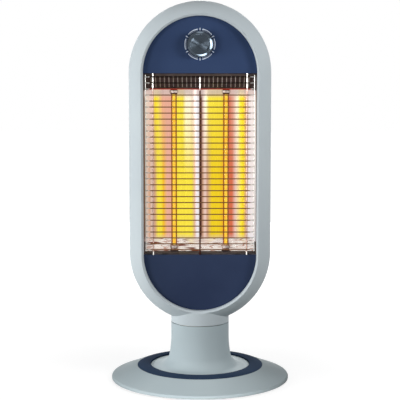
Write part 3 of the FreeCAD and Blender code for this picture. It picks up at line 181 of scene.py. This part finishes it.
finishLooks = {
    "shellGrey": {
        "dark": tint(178, 192, 197), "light": tint(186, 199, 203), "cloud": 7.0, "grain": 900.0,
        "roughness": (0.46, 0.58), "relief": 0.08, "depth": 0.0002, "shine": 0.04, "edge": 0.0008,
    },
    # the same grey plastic as the shell, painted lighter on the head to stand in for light it does not get
    "headGreyLitCopy": {
        "dark": tint(193, 203, 208), "light": tint(201, 211, 215), "cloud": 7.0, "grain": 900.0,
        "roughness": (0.42, 0.54), "relief": 0.08, "depth": 0.0002, "shine": 0.05, "edge": 0.0008,
    },
    "lowerNavy": {
        "dark": tint(40, 52, 80), "light": tint(49, 62, 90), "cloud": 9.0, "grain": 1200.0,
        "roughness": (0.42, 0.54), "relief": 0.05, "depth": 0.0001, "shine": 0.12, "edge": 0.0005,
    },
    "upperNavy": {
        "dark": tint(46, 63, 97), "light": tint(54, 72, 107), "cloud": 9.0, "grain": 1200.0,
        "roughness": (0.42, 0.54), "relief": 0.05, "depth": 0.0001, "shine": 0.12, "edge": 0.0005,
    },
    "ringNavy": {
        "dark": tint(43, 59, 82), "light": tint(51, 67, 90), "cloud": 16.0, "grain": 1200.0,
        "roughness": (0.56, 0.68), "relief": 0.05, "depth": 0.0001, "shine": 0.02, "edge": 0.0005,
    },
    "ventBlack": {
        "dark": tint(76, 66, 65), "light": tint(100, 89, 88), "cloud": 60.0, "grain": 1500.0,
        "roughness": (0.55, 0.75), "relief": 0.1, "depth": 0.0001, "shine": 0.25,
    },
    "strapBlack": {
        "dark": tint(14, 12, 12), "light": tint(96, 90, 96), "cloud": 240.0, "drawn": (0.3, 1.0, 1.0),
        "grain": 1500.0, "roughness": (0.6, 0.8), "relief": 0.1, "depth": 0.0001, "shine": 0.2,
    },
    "chassisSteel": {
        "dark": tint(70, 62, 61), "light": tint(96, 86, 84), "cloud": 60.0, "grain": 600.0,
        "roughness": (0.6, 0.8), "relief": 0.1, "depth": 0.0001, "metal": 0.2, "shine": 0.2,
        # painted glow: a faint warm light from the chassis plate, though it is no lamp
        "paintedGlow": 0.05, "paintedGlowTint": tint(190, 150, 144),
    },
    "plateBlack": {
        "dark": tint(28, 29, 31), "light": tint(40, 41, 44), "cloud": 24.0, "grain": 1400.0,
        "roughness": (0.45, 0.6), "relief": 0.12, "depth": 0.0002,
    },
    "castBlack": {
        "dark": tint(44, 43, 42), "light": tint(72, 70, 68), "cloud": 120.0, "grain": 700.0,
        "roughness": (0.6, 0.85), "relief": 0.4, "depth": 0.0006, "metal": 0.6,
    },
    "footRubber": {
        "dark": tint(24, 24, 25), "light": tint(36, 36, 37), "cloud": 80.0, "grain": 1600.0,
        "roughness": (0.7, 0.9), "relief": 0.2, "depth": 0.0003, "shine": 0.3,
    },
    "zincSteel": {
        "dark": tint(166, 170, 174), "light": tint(200, 204, 208), "cloud": 90.0, "grain": 500.0,
        "stretch": (1.0, 1.0, 0.08), "roughness": (0.26, 0.42), "relief": 0.06, "depth": 0.0001,
        "metal": 1.0,
    },
    "galvanisedSheet": {
        "dark": tint(140, 146, 150), "light": tint(190, 194, 196), "cloud": 140.0, "grain": 300.0,
        "roughness": (0.3, 0.5), "relief": 0.04, "depth": 0.0001, "metal": 1.0,
    },
    "naturalNylon": {
        "dark": tint(214, 212, 202), "light": tint(228, 226, 218), "cloud": 50.0, "grain": 1300.0,
        "roughness": (0.4, 0.55), "relief": 0.08, "depth": 0.0001,
    },
    "switchBlack": {
        "dark": tint(26, 26, 28), "light": tint(38, 38, 41), "cloud": 70.0, "grain": 1500.0,
        "roughness": (0.42, 0.55), "relief": 0.1, "depth": 0.0001,
    },
    "nutBrass": {
        "dark": tint(170, 132, 60), "light": tint(206, 168, 88), "cloud": 130.0, "grain": 700.0,
        "roughness": (0.25, 0.4), "relief": 0.06, "depth": 0.0001, "metal": 1.0,
    },
    "darkCap": {
        "dark": tint(66, 34, 26), "light": tint(98, 58, 44), "cloud": 180.0, "grain": 900.0,
        "roughness": (0.55, 0.75), "relief": 0.2, "depth": 0.0002, "shine": 0.2,
    },
    # the pale rose of the lower caps is a painted reflection of the glow
    "paleCap": {
        "dark": tint(158, 112, 96), "light": tint(206, 172, 156), "cloud": 180.0, "grain": 900.0,
        "roughness": (0.5, 0.7), "relief": 0.2, "depth": 0.0002, "shine": 0.3,
    },
    "brownedSteel": {
        "dark": tint(188, 170, 160), "light": tint(216, 202, 194), "cloud": 150.0, "grain": 600.0,
        "roughness": (0.45, 0.6), "relief": 0.06, "depth": 0.0001, "metal": 0.6,
    },
}
finishes = {name: moulded(name, look) for name, look in finishLooks.items()}
print("shared finishes:", len(finishes))


# hot side of the heater

hotStripLook = {
    "core": (1.0, 0.74, 0.06, 1.0), "edge": (1.0, 0.36, 0.02, 1.0), "strength": 1.1,
    "carbon": tint(40, 30, 25), "roughness": (0.6, 0.8),
    "weave": 900.0, "weaveDetail": 2.0, "stretch": (1.0, 1.0, 0.4), "edgeTo": 0.3, "coreFrom": 0.55,
}


def hotStrip():
    # carbon strip at full heat, a little cooler where the weave is open
    mat, tree, skin = startMaterial("hotStrip")
    look = hotStripLook
    weave = noise(tree, look["weave"], look["weaveDetail"], look["stretch"])
    glow = ramp(tree, weave, [(look["edgeTo"], look["edge"]), (look["coreFrom"], look["core"])])
    join(tree, glow, skin.inputs["Emission Color"])
    skin.inputs["Emission Strength"].default_value = look["strength"]
    skin.inputs["Base Color"].default_value = look["carbon"]
    join(tree, spread(tree, weave, *look["roughness"]), skin.inputs["Roughness"])
    return mat


quartzLook = {
    "rim": tint(176, 92, 40), "rimEdge": (0.18, 0.34), "rimShare": (0.06, 0.7), "facing": 0.5,
    "clear": (1.0, 0.97, 0.92, 1.0), "haze": 300.0, "roughness": (0.04, 0.1),
}


def quartzGlass():
    # clear tube: thin in the middle, dark where the wall is seen edge on
    mat, tree, skin = startMaterial("quartzGlass")
    look = quartzLook
    out = tree.nodes["Material Output"]
    facing = add(tree, "LayerWeight", {"Blend": look["facing"]})
    clear = add(tree, "BsdfTransparent", {"Color": look["clear"]})
    join(tree, spread(tree, noise(tree, look["haze"]), *look["roughness"]), skin.inputs["Roughness"])
    skin.inputs["Base Color"].default_value = look["rim"]
    rim = ramp(tree, facing.outputs["Facing"], [
        (place, (share, share, share, 1.0)) for place, share in zip(look["rimEdge"], look["rimShare"])])
    mixed = add(tree, "MixShader")
    join(tree, rim, mixed.inputs["Fac"])
    join(tree, clear.outputs["BSDF"], mixed.inputs[1])
    join(tree, skin.outputs["BSDF"], mixed.inputs[2])
    join(tree, mixed.outputs["Shader"], out.inputs["Surface"])
    return mat


reflectorLook = {
    "tubeX": 0.044, "reach": (-0.044, 0.050), "glow": 0.98, "mirror": tint(124, 124, 124),
    "wander": 0.0008, "wanderScale": 26.0, "wanderDetail": 1.0, "wanderStretch": (1.0, 1.0, 0.35),
    "fadeTopZ": (0.482, 0.490), "fadeTopShare": 0.8, "footZ": (0.240, 0.250), "footShare": 0.7,
    "turnZ": (0.480, 0.350),
    "brush": 500.0, "brushDetail": 2.0, "brushStretch": (1.0, 1.0, 0.04), "brushShare": 0.3,
    "brushStops": [(0.3, tint(226, 224, 220)), (0.7, tint(255, 254, 252))],
    "roughness": (0.23, 0.31), "relief": (0.03, 0.0001),
    "shades": {
        "white": tint(230, 227, 232), "silver": tint(214, 202, 194), "frost": tint(224, 223, 230),
        "rose": tint(226, 196, 184), "ash": tint(204, 184, 178),
        "cream": tint(248, 241, 216), "lemon": tint(238, 222, 70), "gold": tint(232, 204, 40),
        "amber": tint(232, 180, 44), "salmon": tint(226, 168, 146), "ember": tint(206, 108, 76),
        "tan": tint(198, 154, 128), "umber": tint(104, 70, 60),
    },
    # painted reflections of the glowing tubes and the room across each trough, in millimetres from its tube,
    # the middle ridge first; the umber stops at the middle ridge and the outer edge are painted shade
    "bands": {
        "left": {
            "high": [(-44.0, "silver"), (-39.0, "white"), (-34.0, "rose"), (-27.0, "cream"), (-20.5, "cream"),
                     (-15.0, "lemon"), (0.0, "lemon"), (6.0, "salmon"), (19.5, "salmon"), (28.5, "lemon"),
                     (32.5, "gold"), (37.5, "rose"), (46.5, "silver"), (49.0, "umber")],
            "low": [(-44.0, "silver"), (-39.0, "white"), (-35.0, "tan"), (-30.0, "lemon"), (-1.0, "lemon"),
                    (6.0, "salmon"), (12.0, "salmon"), (18.0, "amber"), (22.5, "lemon"), (28.0, "lemon"),
                    (33.0, "tan"), (38.0, "ash"), (42.0, "tan"), (45.0, "ash"), (49.0, "umber")],
        },
        "right": {
            "high": [(-44.0, "umber"), (-41.5, "umber"), (-39.0, "rose"), (-35.5, "cream"), (-29.0, "lemon"),
                     (-8.0, "lemon"), (-2.0, "amber"), (5.0, "ember"), (12.5, "salmon"), (19.0, "cream"),
                     (23.5, "lemon"), (29.0, "gold"), (34.0, "tan"), (40.0, "white"), (48.0, "white"),
                     (50.0, "silver")],
            "low": [(-44.0, "umber"), (-41.5, "umber"), (-39.0, "tan"), (-35.5, "rose"), (-31.5, "tan"),
                    (-24.0, "gold"), (-11.0, "gold"), (-5.0, "amber"), (1.0, "amber"), (5.0, "ember"),
                    (11.0, "ember"), (17.0, "rose"), (26.0, "lemon"), (30.0, "gold"), (34.5, "tan"),
                    (39.0, "frost"), (50.0, "frost")],
        },
    },
}


def reflectorSheet(side):
    mat, tree, skin = startMaterial(side + "ReflectorSheet")
    look = reflectorLook
    x, _, z = axes(tree)
    near, far = look["reach"]
    across = sums(tree, "SUBTRACT", sums(tree, "ABSOLUTE", x, None), look["tubeX"])
    wave = noise(tree, look["wanderScale"], look["wanderDetail"], look["wanderStretch"])
    wander = spread(tree, wave, -look["wander"], look["wander"])
    across = spread(tree, sums(tree, "ADD", across, wander), 0.0, 1.0, near, far)
    reflectionRamps = []
    for height in ("high", "low"):
        stops = [((place / 1000 - near) / (far - near), look["shades"][shade])
                 for place, shade in look["bands"][side][height]]
        reflectionRamps.append(ramp(tree, across, stops))
    paintedReflection = blend(tree, spread(tree, z, 0.0, 1.0, *look["turnZ"]), *reflectionRamps)
    # the painted reflections give way to plain ash at the top edge and at the foot
    fade = sums(tree, "MAXIMUM", spread(tree, z, 0.0, look["fadeTopShare"], *look["fadeTopZ"]),
                spread(tree, z, look["footShare"], 0.0, *look["footZ"]))
    fadedReflection = blend(tree, fade, paintedReflection, look["shades"]["ash"])
    brushed = noise(tree, look["brush"], look["brushDetail"], look["brushStretch"])
    streak = blend(tree, look["brushShare"], fadedReflection, ramp(tree, brushed, look["brushStops"]), "MULTIPLY")
    join(tree, blend(tree, 1.0, streak, look["mirror"], "MULTIPLY"), skin.inputs["Base Color"])
    # the painted reflections also go in as emission: a painted glow, though the sheet is no lamp
    join(tree, streak, skin.inputs["Emission Color"])
    skin.inputs["Emission Strength"].default_value = look["glow"]
    skin.inputs["Metallic"].default_value = 1.0
    join(tree, spread(tree, brushed, *look["roughness"]), skin.inputs["Roughness"])
    relief(tree, skin, brushed, *look["relief"])
    return mat


endSheetLook = {
    "shades": {"pale": tint(246, 238, 231), "rose": tint(178, 124, 102), "dimBrown": tint(124, 66, 48)},
    "bands": [(0.30, "dimBrown"), (0.40, "pale"), (0.47, "pale"), (0.50, "rose"), (0.53, "pale"), (0.64, "pale"),
              (0.72, "dimBrown")],
    "glow": 0.60, "mirror": tint(176, 176, 176), "ripple": 80.0, "rippleDetail": 1.0,
    "stretch": (0.36, 1.0, 2.2), "roughness": (0.2, 0.34), "relief": (0.12, 0.002),
}


def endSheet():
    # rippled bright sheet that closes the troughs below, with painted broken reflections of the tubes, also
    # given as emission so the sheet glows
    mat, tree, skin = startMaterial("endSheet")
    look = endSheetLook
    ripple = noise(tree, look["ripple"], look["rippleDetail"], look["stretch"])
    shade = ramp(tree, ripple, [(place, look["shades"][name]) for place, name in look["bands"]])
    join(tree, blend(tree, 1.0, shade, look["mirror"], "MULTIPLY"), skin.inputs["Base Color"])
    join(tree, shade, skin.inputs["Emission Color"])
    skin.inputs["Emission Strength"].default_value = look["glow"]
    skin.inputs["Metallic"].default_value = 1.0
    join(tree, spread(tree, ripple, *look["roughness"]), skin.inputs["Roughness"])
    relief(tree, skin, ripple, *look["relief"])
    return mat


guardLook = {
    "bright": tint(236, 233, 228), "brown": tint(112, 78, 52), "dark": tint(52, 26, 20),
    "ember": tint(176, 60, 44), "nearBlack": tint(20, 16, 15), "blush": tint(178, 148, 136),
    "stripZ": (0.4965, 0.4985), "emberZ": (0.4990, 0.5010), "footZ": (0.224, 0.227), "uprightY": -0.0361,
    "sideX": (0.0765, 0.0805), "bendX": (0.0825, 0.0865), "bendShare": 0.85,
    "patch": 260.0, "patchShare": (0.8, 1.1), "roughness": (0.24, 0.4),
}


def guardWire():
    # plated wire: bright at its ends, above the vent and below the window, brown across the window, near
    # black under the vent; the rose on the side uprights is a painted reflection of the glow
    mat, tree, skin = startMaterial("guardWire")
    look = guardLook
    x, y, z = axes(tree)
    wide = sums(tree, "ABSOLUTE", x, None)
    above = spread(tree, z, 0.0, 1.0, *look["stripZ"])
    below = spread(tree, z, 1.0, 0.0, *look["footZ"])
    upright = sums(tree, "GREATER_THAN", y, look["uprightY"])
    sides = sums(tree, "MULTIPLY", sums(tree, "GREATER_THAN", wide, look["sideX"][0]),
                 sums(tree, "LESS_THAN", wide, look["sideX"][1]))
    sides = sums(tree, "MULTIPLY", sides, upright)
    brightZone = sums(tree, "MULTIPLY", upright, above)
    brightZone = sums(tree, "MAXIMUM", brightZone, sums(tree, "MULTIPLY", sides, below))
    brightZone = sums(tree, "MAXIMUM", brightZone, spread(tree, wide, 0.0, look["bendShare"], *look["bendX"]))
    patch = noise(tree, look["patch"])
    shade = blend(tree, upright, look["brown"], look["dark"])
    shade = blend(tree, above, shade, look["ember"])
    shade = blend(tree, spread(tree, z, 0.0, 1.0, *look["emberZ"]), shade, look["nearBlack"])
    # painted reflection: the side uprights take the rose of the glowing troughs beside them
    shade = blend(tree, sides, shade, look["blush"])
    shade = blend(tree, sums(tree, "MULTIPLY", brightZone, spread(tree, patch, *look["patchShare"])), shade,
                  look["bright"])
    join(tree, shade, skin.inputs["Base Color"])
    skin.inputs["Metallic"].default_value = 1.0
    join(tree, spread(tree, patch, *look["roughness"]), skin.inputs["Roughness"])
    return mat


finishes["hotStrip"] = hotStrip()
finishes["quartzGlass"] = quartzGlass()
for side in ("left", "right"):
    finishes[side + "ReflectorSheet"] = reflectorSheet(side)
finishes["endSheet"] = endSheet()
finishes["guardWire"] = guardWire()
print("hot side finishes ready")


# knob

knobLook = {
    "dark": tint(58, 66, 74), "light": tint(74, 83, 92), "darkTo": 0.2, "lightFrom": 0.8, "centreZ": 0.5732,
    "grooves": 1500.0, "grooveWobble": 0.6, "grooveDetail": 2.0, "relief": (0.02, 0.00005), "edge": 0.0008,
    "faceRough": (0.40, 0.48), "skirtRough": (0.14, 0.20), "brushed": 0.9, "brushTurn": 0.25,
}


def knobMetal(name, rough, brushed):
    # gunmetal, turned on a lathe, so the grooves run round the knob
    mat, tree, skin = startMaterial(name)
    look = knobLook
    place = add(tree, "TexCoord")
    shift = add(tree, "Mapping", {"Location": (0.0, 0.0, -look["centreZ"])})
    join(tree, place.outputs["Object"], shift.inputs["Vector"])
    rings = add(tree, "TexWave", {"Scale": look["grooves"], "Distortion": look["grooveWobble"],
                                  "Detail": look["grooveDetail"]}, wave_type="RINGS", rings_direction="Y")
    join(tree, shift.outputs["Vector"], rings.inputs["Vector"])
    groove = rings.outputs["Fac"]
    colour = ramp(tree, groove, [(look["darkTo"], look["dark"]), (look["lightFrom"], look["light"])])
    join(tree, colour, skin.inputs["Base Color"])
    join(tree, spread(tree, groove, *rough), skin.inputs["Roughness"])
    around = add(tree, "Tangent", direction_type="RADIAL", axis="Y")
    join(tree, around.outputs["Tangent"], skin.inputs["Tangent"])
    skin.inputs["Anisotropic"].default_value = brushed
    skin.inputs["Anisotropic Rotation"].default_value = look["brushTurn"]
    skin.inputs["Metallic"].default_value = 1.0
    relief(tree, skin, groove, *look["relief"], look["edge"])
    return mat


finishes["knobSkirt"] = knobMetal("knobSkirt", knobLook["skirtRough"], 0.0)
finishes["knobFace"] = knobMetal("knobFace", knobLook["faceRough"], knobLook["brushed"])

dialLook = {
    "radius": 0.0250, "width": 0.0012, "thick": 0.00012, "ticks": 6, "gapDeg": 8.5,
    "tickLong": 0.0036, "tickWide": 0.0014, "arcSteps": 24, "patch": 900.0, "roughness": (0.5, 0.65),
    "ink": [(0.3, tint(222, 234, 252)), (0.7, tint(232, 242, 255))],
}


def printInk():
    mat, tree, skin = startMaterial("printInk")
    patch = noise(tree, dialLook["patch"])
    join(tree, ramp(tree, patch, dialLook["ink"]), skin.inputs["Base Color"])
    join(tree, spread(tree, patch, *dialLook["roughness"]), skin.inputs["Roughness"])
    return mat


finishes["printInk"] = printInk()


def meshPiece(name, made, finish, body):
    mesh = bpy.data.meshes.new(name)
    bmesh.ops.recalc_face_normals(made, faces=made.faces)
    made.to_mesh(mesh)
    made.free()
    mesh.materials.append(finishes[finish])
    piece = bpy.data.objects.new(name, mesh)
    scene.collection.objects.link(piece)
    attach(piece, body)
    return piece


def addPrism(made, ring, front, back):
    # closed strip of print: ring is a list of (x, z) points
    near = [made.verts.new((x, front, z)) for x, z in ring]
    far = [made.verts.new((x, back, z)) for x, z in ring]
    made.faces.new(near)
    made.faces.new(list(reversed(far)))
    for i in range(len(ring)):
        j = (i + 1) % len(ring)
        made.faces.new((near[i], near[j], far[j], far[i]))


def dialPrint():
    look = dialLook
    low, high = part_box("control_knob")
    centreX = (low.x + high.x) / 2
    centreZ = (low.z + high.z) / 2
    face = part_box("upper_panel")[0].y
    made = bmesh.new()
    step = 360 / look["ticks"]
    radii = (look["radius"] - look["width"] / 2, look["radius"] + look["width"] / 2)
    for i in range(look["ticks"]):
        start = math.radians(i * step + look["gapDeg"])
        end = math.radians((i + 1) * step - look["gapDeg"])
        angles = [start + (end - start) * k / look["arcSteps"] for k in range(look["arcSteps"] + 1)]
        inner, outer = [[(centreX + radius * math.sin(a), centreZ + radius * math.cos(a)) for a in angles]
                        for radius in radii]
        addPrism(made, outer + inner[::-1], face - look["thick"], face)
        a = math.radians(i * step)
        out = Vector((math.sin(a), math.cos(a)))
        side = Vector((out.y, -out.x)) * look["tickWide"] / 2
        middle = Vector((centreX, centreZ)) + out * look["radius"]
        half = out * look["tickLong"] / 2
        ring = [middle - half - side, middle - half + side, middle + half + side, middle + half - side]
        addPrism(made, [tuple(p) for p in ring], face - look["thick"], face)
    return meshPiece("dial_print", made, "printInk", "head")


dialPrint()
print("knob and dial done")


# fins pressed out of the vent strip, coloured light as a painted highlight where their edges catch the glow

finLook = {
    "count": 23, "pitch": 0.007425, "wide": 0.0012, "crest": 0.4, "proud": 0.0012,
    "margins": (0.0050, 0.0085), "top": (-0.0330, 0.5232), "low": (0.0020, 0.4972),
    "patch": 420.0, "patchDetail": 4.0, "roughness": (0.4, 0.6), "metal": 0.3,
    # the light edge colours are a painted highlight on the fin edges
    "edge": [(0.35, tint(168, 160, 160)), (0.65, tint(214, 208, 208))],
}


def finEdgeHighlight():
    mat, tree, skin = startMaterial("finEdgeHighlight")
    patch = noise(tree, finLook["patch"], finLook["patchDetail"])
    join(tree, ramp(tree, patch, finLook["edge"]), skin.inputs["Base Color"])
    join(tree, spread(tree, patch, *finLook["roughness"]), skin.inputs["Roughness"])
    skin.inputs["Metallic"].default_value = finLook["metal"]
    return mat


finishes["finEdgeHighlight"] = finEdgeHighlight()


def ventFins():
    look = finLook
    top, low = Vector((0.0, *look["top"])), Vector((0.0, *look["low"]))
    along = (low - top).normalized()
    outward = Vector((0.0, along.z, -along.y))
    first, last = top + along * look["margins"][0], low - along * look["margins"][1]
    side = Vector((look["wide"] / 2, 0.0, 0.0))
    rim = side * look["crest"]
    made = bmesh.new()
    for i in range(look["count"]):
        across = Vector(((i - (look["count"] - 1) / 2) * look["pitch"], 0.0, 0.0))
        ends = []
        for end in (first, last):
            base = end + across
            crest = base + outward * look["proud"]
            ends.append([made.verts.new(p) for p in (base - side, base + side, crest + rim, crest - rim)])
        made.faces.new(ends[0])
        made.faces.new(ends[1][::-1])
        for k in range(4):
            j = (k + 1) % 4
            made.faces.new((ends[0][k], ends[1][k], ends[1][j], ends[0][j]))
    return meshPiece("vent_fins", made, "finEdgeHighlight", "head")


ventFins()
print("vent fins done")


# finish of each carried-over piece

pieceFinish = {
    "shellGrey": ["base_shell", "pedestal"],
    "headGreyLitCopy": ["front_housing", "rear_cover"],
    "upperNavy": ["upper_panel"],
    "lowerNavy": ["lower_panel"],
    "ringNavy": ["accent_ring"],
    "ventBlack": ["vent_louvre"],
    "strapBlack": ["window_sill"],
    "leftReflectorSheet": ["reflector_left"],
    "rightReflectorSheet": ["reflector_right"],
    "endSheet": ["lower_reflector"],
    "guardWire": ["wire_guard"],
    "quartzGlass": ["quartz_tube_left", "quartz_tube_right"],
    "hotStrip": ["filament_left", "filament_right"],
    "darkCap": ["upper_tube_caps"],
    "paleCap": ["lower_tube_caps"],
    "brownedSteel": ["tube_clips"],
    "zincSteel": ["base_screws", "pedestal_screws", "motor_plate_screws", "motor_screws", "motor_shaft",
                  "swivel_screws", "swivel_retainer", "yoke_screws", "plunger_clip", "plunger_spring",
                  "housing_screws", "selector_shaft"],
    "galvanisedSheet": ["motor_plate", "switch_bracket", "oscillation_motor"],
    "chassisSteel": ["chassis_plate"],
    "plateBlack": ["base_plate"],
    "castBlack": ["ballast_ring"],
    "footRubber": ["rubber_feet", "cord_gland"],
    "naturalNylon": ["glide_ring", "swivel_plate", "drive_yoke", "crank_disc", "crank_roller",
                     "plunger_guide", "terminal_block"],
    "switchBlack": ["tip_plunger", "tip_switch", "selector_switch", "thermal_cutout"],
    "nutBrass": ["switch_nut"],
    "knobSkirt": ["control_knob"],
    "knobFace": ["knob_cap"],
}
for finish, names in pieceFinish.items():
    for name in names:
        nodes[name].data.materials.clear()
        nodes[name].data.materials.append(finishes[finish])
print("finishes given to", sum(len(names) for names in pieceFinish.values()), "pieces")


# floor, light and camera

stageLook = {
    "half": 6.0, "segments": 8, "floor": (0.26, 0.26, 0.26, 1.0),
    "shownFloor": (0.30, 0.30, 0.30, 1.0), "shownGlow": (0.80, 1.0), "glowReach": (0.22, 0.80),
    "sky": 0.12, "skyTint": (1.0, 1.0, 1.0, 1.0),
}


def shownRays(tree):
    # rays that see the floor and sky themselves: these get the white studio
    rays = add(tree, "LightPath")
    first = sums(tree, "MAXIMUM", rays.outputs["Is Camera Ray"], rays.outputs["Is Glossy Ray"])
    return sums(tree, "MAXIMUM", first, rays.outputs["Is Transmission Ray"])


def makeFloor():
    look = stageLook
    made = bmesh.new()
    bmesh.ops.create_grid(made, x_segments=look["segments"], y_segments=look["segments"], size=look["half"])
    mesh = bpy.data.meshes.new("floor")
    made.to_mesh(mesh)
    made.free()
    floor = bpy.data.objects.new("floor", mesh)
    scene.collection.objects.link(floor)
    mat = bpy.data.materials.new("studioFloor")
    mat.use_nodes = True
    tree = mat.node_tree
    tree.nodes.clear()
    out = tree.nodes.new("ShaderNodeOutputMaterial")
    plain = add(tree, "BsdfDiffuse", {"Color": look["floor"]})
    shade = add(tree, "BsdfDiffuse", {"Color": look["shownFloor"]})
    glow = add(tree, "Emission")
    place = add(tree, "TexCoord")
    away = add(tree, "VectorMath", operation="LENGTH")
    join(tree, place.outputs["Object"], away.inputs[0])
    # the floor's glow is lower near the base: a painted shade round it that lets its shadow show
    reach = spread(tree, away.outputs["Value"], *look["shownGlow"], *look["glowReach"])
    join(tree, reach, glow.inputs["Strength"])  # a little less near the base, so its shadow shows
    both = add(tree, "AddShader")
    pick = add(tree, "MixShader")
    join(tree, shade.outputs["BSDF"], both.inputs[0])
    join(tree, glow.outputs["Emission"], both.inputs[1])
    join(tree, shownRays(tree), pick.inputs["Fac"])
    join(tree, plain.outputs["BSDF"], pick.inputs[1])
    join(tree, both.outputs["Shader"], pick.inputs[2])
    join(tree, pick.outputs["Shader"], out.inputs["Surface"])
    mesh.materials.append(mat)


def makeSky():
    world = bpy.data.worlds.new("studio")
    scene.world = world
    world.use_nodes = True
    tree = world.node_tree
    tree.nodes.clear()
    out = tree.nodes.new("ShaderNodeOutputWorld")
    sky = add(tree, "Background", {"Color": stageLook["skyTint"]})
    join(tree, spread(tree, shownRays(tree), stageLook["sky"], 1.0), sky.inputs["Strength"])
    join(tree, sky.outputs["Background"], out.inputs["Surface"])


# "skips" flags a lamp off some pieces, "lights" lets it fall on those alone
lampSet = {
    "sideLeft": {"at": (-1.9, -0.5, 0.36), "aim": (0.0, 0.0, 0.46), "size": 0.8, "watts": 21.5,
                 "skips": ["control_knob", "knob_cap", "base_shell"]},
    "frontLeft": {"at": (-1.5, -1.5, 0.5), "aim": (0.0, 0.0, 0.34), "size": 0.8, "watts": 17.0},
    "sideRight": {"at": (0.78, -0.55, 0.68), "aim": (0.0, 0.0, 0.48), "size": 0.35, "watts": 5.2,
                  "skips": ["base_shell"]},
    "above": {"at": (0.0, -0.2, 1.9), "aim": (0.0, 0.0, 0.34), "size": 0.8, "watts": 3.6},
    "behind": {"at": (0.0, 1.9, 0.5), "aim": (0.0, 0.0, 0.38), "size": 1.2, "watts": 18.0,
               "skips": ["base_shell", "accent_ring"]},
    # low cards before and behind the base
    "cardBase": {"at": (-0.1, -1.6, 0.35), "aim": (0.0, -0.1, 0.02), "size": 0.5, "watts": 19.0,
                 "lights": ["base_shell"]},
    "cardBehind": {"at": (0.0, 1.6, 0.2), "aim": (0.0, 0.1, 0.02), "size": 0.5, "watts": 13.0,
                   "lights": ["base_shell"]},
    # small cards round the knob
    "cardRight": {"at": (1.1, -0.38, 0.58), "aim": (0.0, -0.04, 0.573), "size": 0.5, "tall": 1.1,
                  "watts": 26.0, "lights": ["control_knob"]},
    "cardLow": {"at": (0.10, -0.30, 0.05), "aim": (0.0, -0.05, 0.573), "size": 0.55, "tall": 0.24,
                "watts": 7.5, "lights": ["control_knob"]},
    "cardFace": {"at": (-0.42, -0.36, 0.80), "aim": (0.0, -0.06, 0.573), "size": 0.10, "watts": 5.0,
                 "lights": ["knob_cap"]},
}


def makeLamps():
    for name, lamp in lampSet.items():
        light = bpy.data.lights.new(name, "AREA")
        light.shape = "ELLIPSE"
        light.size = lamp["size"]
        light.size_y = lamp.get("tall", lamp["size"])
        light.energy = lamp["watts"]
        obj = bpy.data.objects.new(name, light)
        obj.location = lamp["at"]
        facing = Vector(lamp["aim"]) - Vector(lamp["at"])
        obj.rotation_euler = facing.to_track_quat("-Z", "Y").to_euler()
        if "lights" in lamp or "skips" in lamp:
            caught = bpy.data.collections.new(name + "Catches")
            for part in lamp.get("lights", lamp.get("skips")):
                caught.objects.link(nodes[part])
            for item in caught.collection_objects:
                item.light_linking.link_state = "EXCLUDE" if "skips" in lamp else "INCLUDE"
            obj.light_linking.receiver_collection = caught
        obj.visible_camera = False
        scene.collection.objects.link(obj)


cameraSet = {"aim": (0.0, 0.0, 0.309), "distance": 2.285, "turn": 0.0, "rise": 7.0, "lens": 120.6,
             "sensor": 36.0}


def makeCamera():
    turn, rise = math.radians(cameraSet["turn"]), math.radians(cameraSet["rise"])
    back = Vector((math.sin(turn) * math.cos(rise), -math.cos(turn) * math.cos(rise), math.sin(rise)))
    camera = bpy.data.cameras.new("camera")
    camera.lens = cameraSet["lens"]
    camera.sensor_width = cameraSet["sensor"]
    obj = bpy.data.objects.new("camera", camera)
    obj.location = Vector(cameraSet["aim"]) + back * cameraSet["distance"]
    obj.rotation_euler = (-back).to_track_quat("-Z", "Y").to_euler()
    scene.collection.objects.link(obj)
    scene.camera = obj


makeFloor()
makeSky()
makeLamps()
makeCamera()
print("stage, lamps and camera set")
